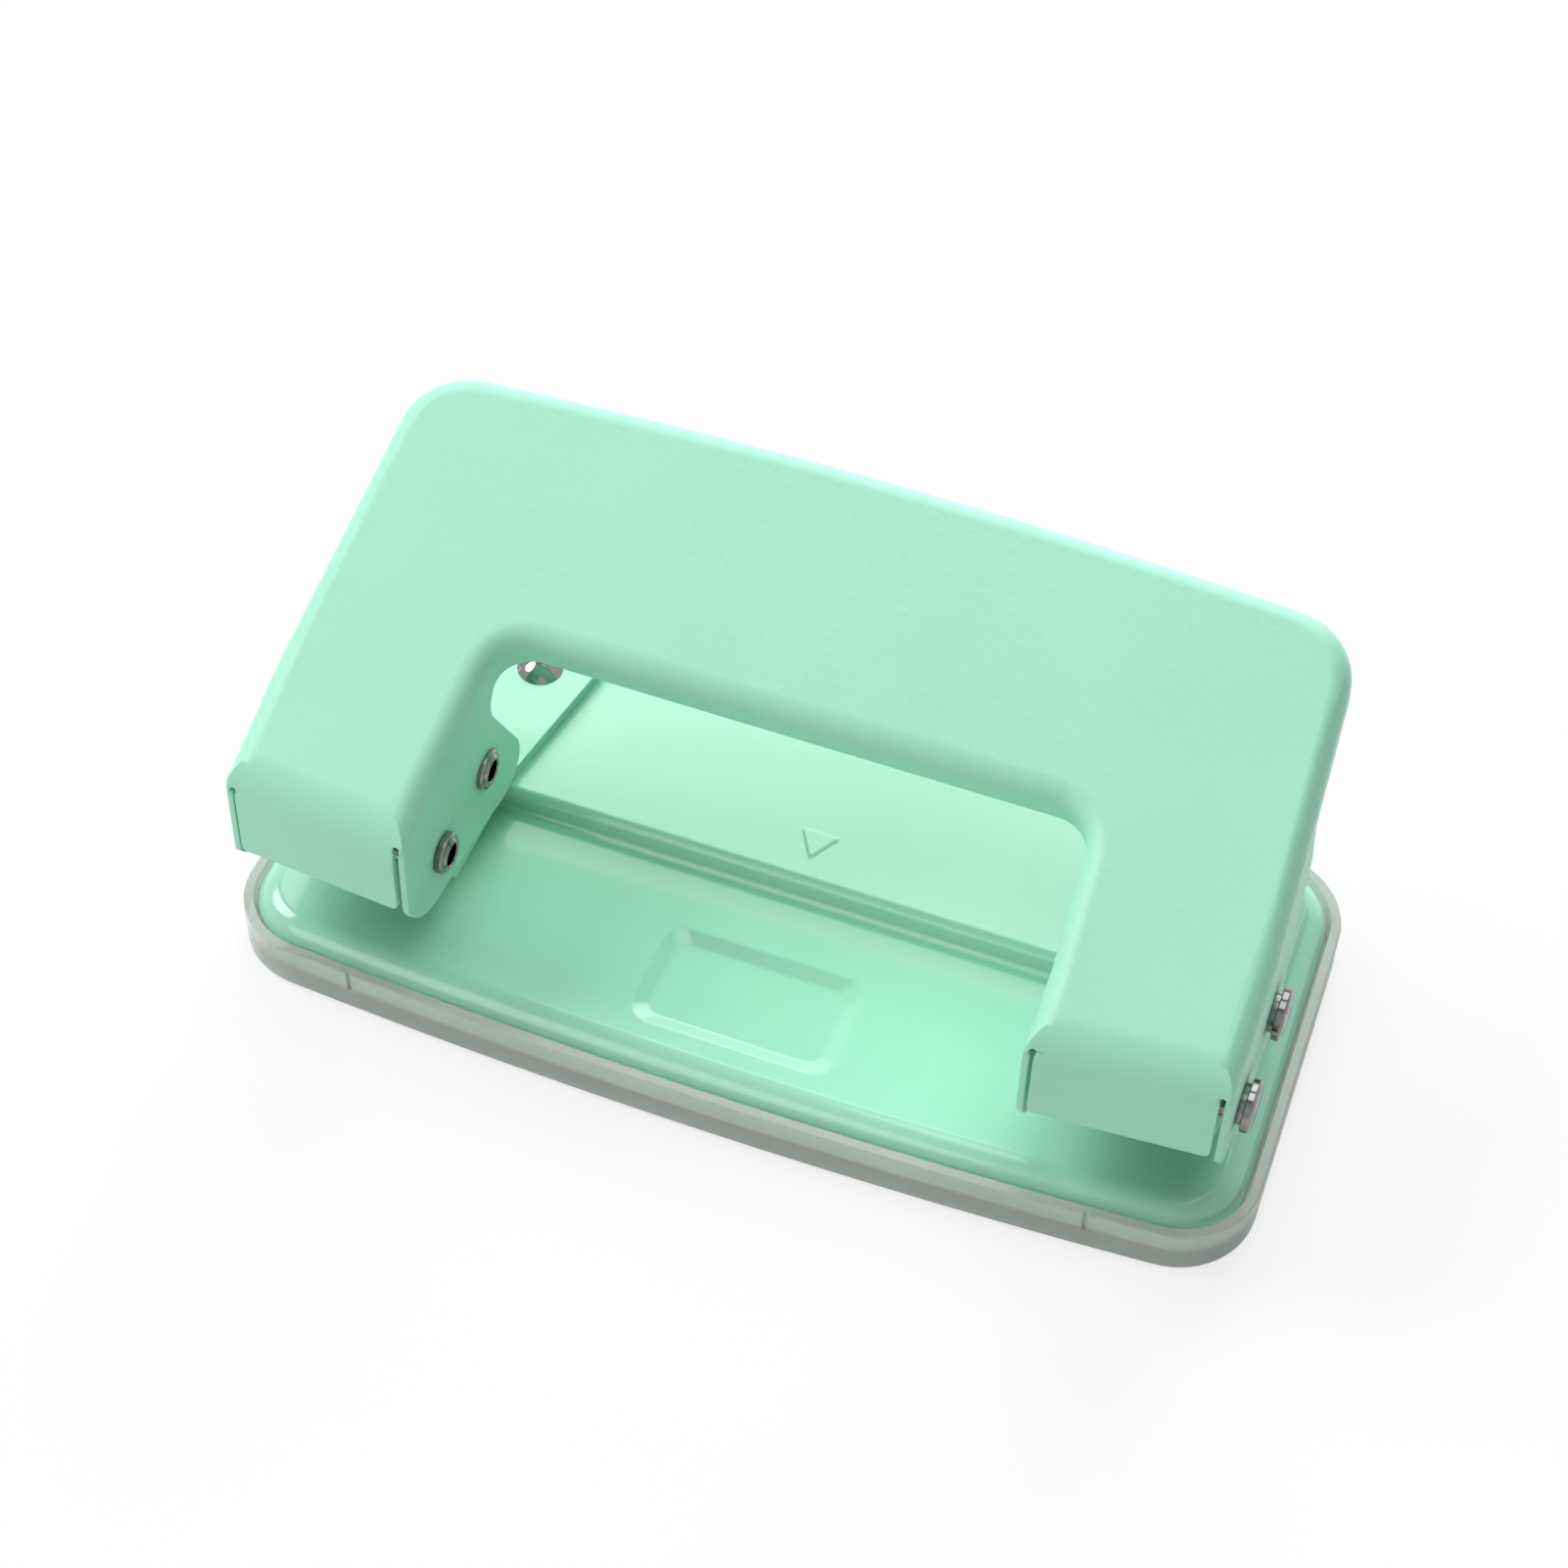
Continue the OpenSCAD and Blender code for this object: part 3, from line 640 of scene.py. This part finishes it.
leverForm = dict(
    tilt=19.7, top=11.88, reach=45.58, taper=0.055, outerFrom=10.0, innerFrom=4.0,
    sheet=0.7, bend=2.2, bendSteps=9, soften=0.13, deep=36, ahead=30, past=80,
    rearCorner=6.8, rearBack=1.4, rearFrom=84, rearBow=0.95 / 35 ** 2, window=18.9, windowCorner=3.8,
    edge=4.9, drop=6.5, lobe=3.8, lobeReach=13.3, frontDrop=5.6,      # lower edges of the sides
    curl=5.0, turn=4.5, frontRound=0.45, flapFront=7.3, flapDrop=0.4, flapCorner=0.7,      # front of the arms
    slit=0.4, slitDown=1.8, slitAhead=2.5, slitDeep=5.5, slitLow=25, relief=0.34, reliefDown=0.1,
    pinHole=1.72, armClear=14, frontFar=50, overlap=0.05, shade=28)
# lower edges: round of the front, lean of the lobe's rear and radius of the hollow behind it
underForm = dict(middle=dict(frontY=-0.6, frontR=7.5, turn=30, hollow=3.5),
                 side=dict(frontY=1.5, frontR=9.0, turn=-35, hollow=8))


def leverPlan():
    form = leverForm
    wo, wi = armX + armWidth / 2, armX - armWidth / 2
    r, q = form['rearCorner'], form['windowCorner']
    uc = form['reach'] - form['rearBack'] - r
    xo = wo - form['taper'] * (uc - form['outerFrom']) - r
    xi = wi - form['taper'] * (form['window'] - q - form['innerFrom']) - q
    right = [(xo * i / 12, form['reach'] - form['rearBow'] * (xo * i / 12) ** 2) for i in range(13)]
    right += arcPoints(xo, uc, r, form['rearFrom'], 0, 16)
    right += [(wo, form['outerFrom']), (wo, -form['ahead']), (wi, -form['ahead']), (wi, form['innerFrom'])]
    right += arcPoints(xi, form['window'] - q, q, 0, 90, 14)
    return mirrorHalf(right)


def frontTool(side):
    # what lies ahead of the flap and of the curl above it: a box less the rounded arm front
    form = leverForm
    tilt = math.radians(form['tilt'])
    r = form['curl']
    edgeZ = form['top'] / math.cos(tilt) - form['flapFront'] * math.tan(tilt)
    cy, cz = r - form['flapFront'], edgeZ - r * math.tan((math.pi / 2 - tilt) / 2) + 0.003      # just proud
    bend = arcPoints(cy, cz, r, 180, 90 + form['tilt'], 32)
    outline = [(far, -far), (-form['flapFront'], -far)] + bend + [(bend[-1][0], far), (far, far)]
    half = armWidth / 2 + 0.015      # just past the arm's sides
    keep = outlineBlock('frontKeep', outline, -half, half, 'X')
    openEdit(keep)
    along = Vector((0, math.cos(tilt), math.sin(tilt)))
    back = side * math.tan(math.radians(form['turn']))      # the outer end lies further back
    for corner in bmesh.from_edit_mesh(keep.data).verts:
        corner.co += along * (corner.co.x * back)
    bmesh.update_edit_mesh(keep.data)

    def frontEdge(edge):
        a, b = edge.verts
        return abs(a.co.x - b.co.x) < 0.01 and max(a.co.y, b.co.y) < 0 and max(a.co.z, b.co.z) < 30

    bevelPicked(keep, form['frontRound'], 6, test=frontEdge)
    closeEdit()
    wide, long = form['armClear'], form['frontFar']
    piece = boxBlock('frontTool', (-wide, -long, -long), (wide, 0, long))
    carve(piece, keep)
    settle(piece, (side * armX, pivotY, pivotZ))
    return piece


def underTool(name, shape, low, high):
    # what lies under the lower edge of the lever's sides
    form = leverForm
    frontY, frontR, turn, hollow = (shape[key] for key in ('frontY', 'frontR', 'turn', 'hollow'))
    t = math.tan(math.radians(form['tilt']))
    frontZ = frontR - form['frontDrop']
    lobeR, lobeY, lobeZ = form['lobe'], form['lobeReach'], form['lobe'] - form['drop']
    between = Vector((lobeY - frontY, lobeZ - frontZ))
    lean = math.atan2(between.y, between.x) - math.acos((frontR - lobeR) / between.length)
    join = 360 + math.degrees(lean)
    top0 = (form['top'] - form['edge']) / math.cos(math.radians(form['tilt']))
    a, b = math.cos(math.radians(turn)), math.sin(math.radians(turn))
    sy, sz = lobeY + lobeR * a, lobeZ + lobeR * b
    ny = hollow * (a - math.sin(math.radians(form['tilt'])))
    nz = hollow * (b + math.cos(math.radians(form['tilt'])))
    run = (top0 + t * (sy + ny) - sz - nz) / (a + t * b)
    cy, cz = sy - run * b + hollow * a, sz + run * a + hollow * b
    edge = arcPoints(frontY, frontZ, frontR, 180, join, 24)
    edge += arcPoints(lobeY, lobeZ, lobeR, join, 360 + turn, 18)
    edge += arcPoints(cy, cz, hollow, 180 + turn, 90 + form['tilt'], 16)
    past = form['past']
    outline = [(-far, frontZ)] + edge + [(past, top0 + t * past), (past, -far), (-far, -far)]
    piece = outlineBlock(name, outline, low, high, 'X')
    settle(piece, (0, pivotY, pivotZ))
    return piece


def underFlap(low, high):
    # what lies under the flap and in the hollow of the arm behind it
    form = leverForm
    t = math.tan(math.radians(form['tilt']))
    roof = (form['top'] - form['edge']) / math.cos(math.radians(form['tilt']))
    back = form['curl'] - form['flapFront']
    past = form['past']
    outline = [(-far, -form['flapDrop']), (back, -form['flapDrop']), (back, roof + t * back),
               (past, roof + t * past), (past, -far), (-far, -far)]
    piece = outlineBlock('underFlap', outline, low, high, 'X')
    settle(piece, (0, pivotY, pivotZ))
    return piece


def markFaces(piece, index):
    # faces that a tool leaves carry its number, so they can be found again
    for material in (leverCoat, paintedEdgeHighlight, baseEnamel):
        piece.data.materials.append(material)
    for face in piece.data.polygons:
        face.material_index = index
    return piece


def supportCut(place, normal):
    # a row of edges that keeps the shading of flat parts even
    bpy.ops.mesh.select_all(action='SELECT')
    bpy.ops.mesh.bisect(plane_co=place, plane_no=normal)


def makeLever():
    form = leverForm
    tilt = math.radians(form['tilt'])
    piece = markFaces(outlineBlock('leverShell', leverPlan(), form['top'] - form['deep'], form['top']), 0)
    openEdit(piece)
    bevelPicked(piece, form['bend'], form['bendSteps'],
                test=lambda e: all(abs(v.co.z - form['top']) < near for v in e.verts))
    closeEdit()
    settle(piece, (0, pivotY, pivotZ), (tilt, 0, 0))
    for side in (-1, 1):
        carve(piece, markFaces(frontTool(side), 2))
    slitTop = form['top'] / math.cos(tilt) - form['flapFront'] * math.tan(tilt) - form['slitDown']
    half = armWidth / 2 - form['sheet']
    flapHalf = half - form['slit'] / 2
    middle = underTool('underMiddle', underForm['middle'], flapHalf - armX, armX - flapHalf)
    carve(piece, markFaces(middle, 1))
    for side in (-1, 1):
        ends = sorted((side * (armX + flapHalf), side * (armX + form['ahead'])))
        carve(piece, markFaces(underTool('underSide', underForm['side'], ends[0], ends[1]), 1))
        wide = flapHalf + form['overlap']
        carve(piece, markFaces(underFlap(side * armX - wide, side * armX + wide), 1))
    ahead = pivotY - form['flapFront'] - form['slitAhead']
    for side in (-1, 1):
        for x in (armX - half + form['slit'] / 2, armX + half - form['slit'] / 2):
            low = (side * x - form['slit'] / 2, ahead, pivotZ - form['slitLow'])
            high = (low[0] + form['slit'], ahead + form['slitDeep'], pivotZ + slitTop)
            carve(piece, markFaces(boxBlock('slitTool', low, high), 1))
            relief = turnedPiece('reliefTool', [(form['relief'], -6), (form['relief'], 3)], 20)
            end = (side * x, pivotY - form['flapFront'], pivotZ + slitTop - form['reliefDown'])
            settle(relief, end, (math.pi / 2, 0, 0))
            carve(piece, markFaces(relief, 1))
        for y, z in ((pivotY, pivotZ), (driveY, driveZ)):
            bore, long = form['pinHole'], form['armClear']
            hole = turnedPiece('pinTool', [(bore, -long), (bore, long)])
            settle(hole, (side * armX, y, z), (0, math.pi / 2, 0))
            carve(piece, markFaces(hole, 1))
    openEdit(piece)
    pick(piece, 'FACE', lambda f: f.material_index == 1)
    bpy.ops.mesh.delete(type='FACE')

    def sideLip(face):
        # the front round of a side, below the slit: the sheet ends there with its plain edge
        spot = face.calc_center_median()
        below = spot.z < pivotZ + slitTop - 0.3
        return below and abs(abs(spot.x) - armX) > flapHalf and face.normal.y < -0.2

    pick(piece, 'FACE', sideLip)
    bpy.ops.mesh.delete(type='FACE')
    pick(piece, 'VERT', lambda v: True)
    bpy.ops.mesh.remove_doubles(threshold=flush)
    bpy.ops.mesh.dissolve_degenerate(threshold=flush / 2)
    flat = armWidth / 2 - form['bend'] - 0.1
    for x in (-armX - flat, -armX + flat, armX - flat, armX + flat):
        supportCut((x, 0, 0), (1, 0, 0))
    supportCut((0, pivotY - 2.6, pivotZ + form['top']), (0, math.cos(tilt), math.sin(tilt)))
    supportCut((0, 0, pivotZ + slitTop - 0.9), (0, 0, 1))

    def flapCorner(vert):
        return (vert.is_boundary and abs(vert.co.z - pivotZ + form['flapDrop']) < slack
                and abs(abs(abs(vert.co.x) - armX) - half + form['slit']) < slack)

    bevelPicked(piece, form['flapCorner'], 5, 'VERT', flapCorner)
    for face in bmesh.from_edit_mesh(piece.data).faces:
        face.material_index = 0
    closeEdit()
    # the rim faces of the sheet take the second material, the lighter coat that paints a highlight on the cut
    # edges
    applyModifier(piece, 'SOLIDIFY', thickness=form['sheet'], offset=-1, use_even_offset=True,
                  use_quality_normals=True, material_offset_rim=1)
    openEdit(piece)
    widest = armX + armWidth / 2 - 0.04      # the sheet stays inside the CAD's sides
    for corner in bmesh.from_edit_mesh(piece.data).verts:
        corner.co.x = max(-widest, min(widest, corner.co.x))

    def rimEdge(edge):
        return sorted(f.material_index for f in edge.link_faces) == [0, 1]

    bevelPicked(piece, form['soften'], 2, test=rimEdge)
    closeEdit()
    smoothShade(piece, form['shade'])
    finishPiece(piece, 'lever', 'lever_coat', [leverCoat, paintedEdgeHighlight], 'lever')
    return piece


makeLever()


# brackets, rivets, pins and rings

# the cuts take off corners of the ears that would show beside the lever, as (y, z)
bracketForm = dict(soften=0.3,
                   footCut=[(-11.6, 8.0), (-11.6, 11.5), (-17.0, 15.5), (-26.0, 15.5), (-26.0, 8.0)],
                   rearCut=[(-1.9, 40.0), (-1.9, 21.0), (0.2, 17.0), (4.0, 17.0), (4.0, 40.0)])


def makeBrackets():
    form = bracketForm
    for side in ('left', 'right'):
        bracket = dressedCopy(side + '_bracket', side + 'BracketPlate', form['soften'], 3,
                              (form['footCut'], form['rearCut']))
        finishPiece(bracket, 'base', 'base_coat', [baseEnamel], side + '_bracket')


makeBrackets()

rivetForm = dict(head=2.4, rise=1.3, foot=0.08, tip=0.05, shank=1.5, under=2.1, low=7.7, seat=8.4,
                 chamfer=0.15)


def makeRivets():
    form = rivetForm
    crown = (form['head'] ** 2 + form['rise'] ** 2) / (2 * form['rise'])
    tip = plateZ + form['rise']
    under, edge = form['under'], form['chamfer']
    rings = [(under - edge, form['low']), (under, form['low'] + edge), (under, form['seat']),
             (form['shank'], form['seat']), (form['shank'], plateZ)]
    rings += [(form['head'] - 0.06, plateZ), (form['head'], plateZ + form['foot'])]
    for i in range(1, 10):
        z = plateZ + form['foot'] + (form['rise'] - form['foot']) * math.sin(math.radians(10 * i))
        rings.append((max(form['tip'], math.sqrt(max(0.0, crown ** 2 - (z - tip + crown) ** 2))), z))
    first = turnedPiece('rivetBlank', rings)
    smoothShade(first, 40)
    for side, sign in (('left', -1), ('right', 1)):
        for place in ('inner', 'outer'):
            rivet = copyOf(first, side + place.capitalize() + 'Rivet')
            settle(rivet, (sign * rivetX[place], rivetY, 0))
            finishPiece(rivet, 'base', 'bright_metal', [brightMetal], side + '_' + place + '_rivet')
    bpy.data.objects.remove(first, do_unlink=True)


makeRivets()

pinForm = dict(shank=1.7, head=2.6, headThick=1.0, headEdge=0.1, collar=0.5, collarWide=2.0, end=1.1,
               chamfer=0.25, bore=1.15, boreDeep=1.6, boreEdge=0.12)
ringForm = dict(bore=1.72, wide=2.15, thick=0.75, chamfer=0.2, stand=10.45)


def makePins():
    form = pinForm
    start = -armWidth / 2 - form['end']
    seat = armWidth / 2 + 0.02
    face = seat + form['collar'] + form['headThick']
    bore, shank, collar, head = form['bore'], form['shank'], form['collarWide'], form['head']
    back = seat + form['collar']
    mouth, bevel, lip = form['boreEdge'], form['chamfer'], form['headEdge']
    rings = [(bore, start + form['boreDeep']), (bore, start + mouth), (bore + mouth, start),
             (shank - bevel, start), (shank, start + bevel), (shank, seat), (collar, seat), (collar, back),
             (head - lip, back), (head, back + lip), (head, face - 0.4), (head - 0.12, face - 0.18),
             (head - 0.5, face - 0.03), (head * 0.45, face), (0.05, face)]
    first = turnedPiece('pinBlank', rings)
    smoothShade(first, 40)
    form = ringForm
    low, high = -form['stand'], -form['stand'] + form['thick']
    wide = form['wide']
    rings = [(form['bore'], low), (wide - form['chamfer'], low), (wide - 0.06, low + 0.12),
             (wide, low + form['chamfer'] + 0.05), (wide, high - 0.08), (wide - 0.08, high),
             (form['bore'], high)]
    band = turnedPiece('ringBlank', rings)
    openEdit(band)
    # the two end caps come out and the bore closes the ring
    pick(band, 'FACE', lambda f: len(f.verts) > 8)
    bpy.ops.mesh.delete(type='FACE')
    pick(band, 'EDGE', lambda e: e.is_boundary)
    bpy.ops.mesh.bridge_edge_loops()
    bpy.ops.mesh.select_all(action='SELECT')
    bpy.ops.mesh.normals_make_consistent(inside=False)
    closeEdit()
    smoothShade(band, 40)
    for side, sign in (('left', -1), ('right', 1)):
        for kind, y, z in (('Pivot', pivotY, pivotZ), ('Drive', driveY, driveZ)):
            turn = (0, sign * math.pi / 2, 0)
            pin = copyOf(first, side + kind + 'Pin')
            settle(pin, (sign * armX, y, z), turn)
            # the pins and rings are chrome, drawn in the darker copy whose colour is painted shade
            finishPiece(pin, 'lever', 'bright_metal', [paintedShadeChrome], side + '_' + kind.lower() + '_pin')
            ring = copyOf(band, side + kind + 'Ring')
            settle(ring, (sign * armX, y, z), turn)
            finishPiece(ring, 'lever', 'bright_metal', [paintedShadeChrome], side + '_' + kind.lower() + '_ring')
    bpy.data.objects.remove(first, do_unlink=True)
    bpy.data.objects.remove(band, do_unlink=True)


makePins()


# punches, clips and springs

springForm = dict(wire=0.3, radius=3.8, low=10.86, high=17.69, turns=4, steps=40, travel=3.301)


def makeSprings():
    form = springForm
    useOnly(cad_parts["lever"])
    bpy.ops.mesh.primitive_circle_add(vertices=14, radius=form['wire'], fill_type='NOTHING',
                                      location=(form['radius'], 0, form['low'] + form['wire']),
                                      rotation=(math.pi / 2, 0, 0))
    coil = bpy.context.object
    useOnly(coil)
    bpy.ops.object.transform_apply(location=True, rotation=True, scale=True)
    rise = form['high'] - form['low'] - 2 * form['wire']
    applyModifier(coil, 'SCREW', axis='Z', angle=2 * math.pi, screw_offset=rise / form['turns'],
                  iterations=form['turns'], steps=form['steps'], render_steps=form['steps'])
    openEdit(coil)
    pick(coil, 'EDGE', lambda e: e.is_boundary)
    bpy.ops.mesh.fill_holes(sides=20)
    bpy.ops.mesh.select_all(action='SELECT')
    bpy.ops.mesh.normals_make_consistent(inside=False)
    closeEdit()
    smoothShade(coil, 50)
    right = copyOf(coil, 'rightSpring')
    left = mirrored(coil, 'leftSpring')
    for piece, side, sign in ((left, 'left', -1), (right, 'right', 1)):
        settle(piece, (sign * armX, punchY, 0))
        finishPiece(piece, 'base', 'spring_steel', [springSteel], side + '_spring')
        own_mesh(piece)
    bpy.data.objects.remove(coil, do_unlink=True)


makeSprings()

for side in ('left', 'right'):
    punch = dressedCopy(side + '_punch', side + 'PunchRod', 0.08, 2)
    finishPiece(punch, side + '_punch', 'tool_steel', [toolSteel], side + '_punch')
    clip = dressedCopy(side + '_clip', side + 'SplitClip', 0.08, 2)
    finishPiece(clip, side + '_punch', 'spring_steel', [springSteel], side + '_clip')


# stage, light and camera

stageForm = dict(size=6.0, floor=-0.00008, worldFill=0.10, wallLow=0.80, wallHigh=0.97, wallBright=0.7,
                 wallDark=0.2, glow=0.75, glowFrom=0.25, glowTo=0.8, shade=(0.93, 0.93, 0.93, 1), rough=0.9)


def makeFloor():
    useOnly(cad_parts["lever"])
    bpy.ops.mesh.primitive_plane_add(size=stageForm['size'], location=(0, 0, stageForm['floor']))
    floor = bpy.context.object
    floor.name = 'deskFloor'
    look = dict(Base_Color=stageForm['shade'], Roughness=stageForm['rough'])
    material, nodes, links, shader = newMaterial('paleFloor', **look)
    glow = nodes.new('ShaderNodeEmission')
    seen = nodes.new('ShaderNodeLightPath')
    where = nodes.new('ShaderNodeTexCoord')
    reach = nodes.new('ShaderNodeVectorMath')
    reach.operation = 'LENGTH'
    fade = nodes.new('ShaderNodeMapRange')      # far from the object the floor is plain white
    fade.inputs['From Min'].default_value = stageForm['glowFrom']
    fade.inputs['From Max'].default_value = stageForm['glowTo']
    fade.inputs['To Min'].default_value = stageForm['glow']
    share = nodes.new('ShaderNodeMath')
    share.operation = 'MULTIPLY'
    blend = nodes.new('ShaderNodeMixShader')
    links.new(where.outputs['Object'], reach.inputs[0])
    links.new(reach.outputs['Value'], fade.inputs['Value'])
    links.new(fade.outputs['Result'], share.inputs[1])
    links.new(seen.outputs['Is Camera Ray'], share.inputs[0])
    links.new(share.outputs['Value'], blend.inputs['Fac'])
    links.new(shader.outputs['BSDF'], blend.inputs[1])
    links.new(glow.outputs['Emission'], blend.inputs[2])
    links.new(blend.outputs['Shader'], nodes['Material Output'].inputs['Surface'])
    floor.data.materials.append(material)


def makeWorld():
    # white to the camera, a little soft light from all sides; gloss sees bright walls and a darker ceiling
    world = bpy.data.worlds.new('studio')
    scene.world = world
    world.use_nodes = True
    nodes, links = world.node_tree.nodes, world.node_tree.links
    seen = nodes.new('ShaderNodeLightPath')
    where = nodes.new('ShaderNodeTexCoord')
    split = nodes.new('ShaderNodeSeparateXYZ')
    walls = nodes.new('ShaderNodeMapRange')
    walls.inputs['From Min'].default_value = stageForm['wallLow']
    walls.inputs['From Max'].default_value = stageForm['wallHigh']
    walls.inputs['To Min'].default_value = stageForm['wallBright']
    walls.inputs['To Max'].default_value = stageForm['wallDark']
    glossy = nodes.new('ShaderNodeMix')
    glossy.inputs[2].default_value = stageForm['worldFill']
    plain = nodes.new('ShaderNodeMath')
    plain.operation = 'MAXIMUM'
    level = nodes.new('ShaderNodeMix')
    level.inputs[3].default_value = 1.0
    links.new(where.outputs['Generated'], split.inputs['Vector'])
    links.new(split.outputs['Z'], walls.inputs['Value'])
    links.new(seen.outputs['Is Glossy Ray'], glossy.inputs[0])
    links.new(walls.outputs['Result'], glossy.inputs[3])
    links.new(seen.outputs['Is Camera Ray'], plain.inputs[0])
    links.new(seen.outputs['Is Transmission Ray'], plain.inputs[1])
    links.new(plain.outputs['Value'], level.inputs[0])
    links.new(glossy.outputs[0], level.inputs[2])
    links.new(level.outputs[0], nodes['Background'].inputs['Strength'])
    nodes['Background'].inputs['Color'].default_value = (1, 1, 1, 1)


lampAim = (0, 0, 0.015)
lampForm = [
    dict(name='leftLamp', place=(-1.12, 0.0, 1.12), size=1.00, power=15.2, shine=True),
    dict(name='topLamp', place=(0.12, 0.0, 0.79), size=0.50, power=1.4, shine=True),
    dict(name='rearLamp', place=(-0.12, 0.56, 0.56), size=0.66, power=2.4, shine=True),
    dict(name='wallLamp', place=(0.0, 0.75, 0.27), size=0.50, power=4.0, shine=False),
    dict(name='frontLamp', place=(-0.25, -0.64, 0.40), size=0.50, power=1.1, shine=True),
]


def makeLamps():
    for form in lampForm:
        data = bpy.data.lights.new(form['name'], 'AREA')
        data.shape = 'DISK'
        data.size = form['size']
        data.energy = form['power']
        lamp = bpy.data.objects.new(form['name'], data)
        scene.collection.objects.link(lamp)
        lamp.visible_glossy = form['shine']      # the wall only fills, gloss doesn't mirror it
        aim = Vector(lampAim) - Vector(form['place'])
        lamp.location = form['place']
        lamp.rotation_euler = aim.to_track_quat('-Z', 'Y').to_euler()


cameraForm = dict(azimuth=19.33, elevation=49.86, roll=1.85, distance=0.3219, focus=3523.9, frame=1601,
                  aim=(0.00091, -0.00730, 0.03365), sensor=36, clip=0.01)


def makeCamera():
    form = cameraForm
    a, e, r = (math.radians(form[key]) for key in ('azimuth', 'elevation', 'roll'))
    back = Vector((math.sin(a) * math.cos(e), -math.cos(a) * math.cos(e), math.sin(e)))
    right = Vector((math.cos(a), math.sin(a), 0))
    up = back.cross(right)
    across = right * math.cos(r) + up * math.sin(r)
    upright = up * math.cos(r) - right * math.sin(r)
    data = bpy.data.cameras.new('photoCamera')
    data.sensor_width = form['sensor']
    data.lens = form['focus'] * data.sensor_width / form['frame']
    data.clip_start = form['clip']
    camera = bpy.data.objects.new('photoCamera', data)
    scene.collection.objects.link(camera)
    place = Vector(form['aim']) + back * form['distance']
    camera.matrix_world = Matrix((
        (across.x, upright.x, back.x, place.x), (across.y, upright.y, back.y, place.y),
        (across.z, upright.z, back.z, place.z), (0, 0, 0, 1)))
    scene.camera = camera


makeFloor()
makeWorld()
makeLamps()
makeCamera()
print('stage ready')
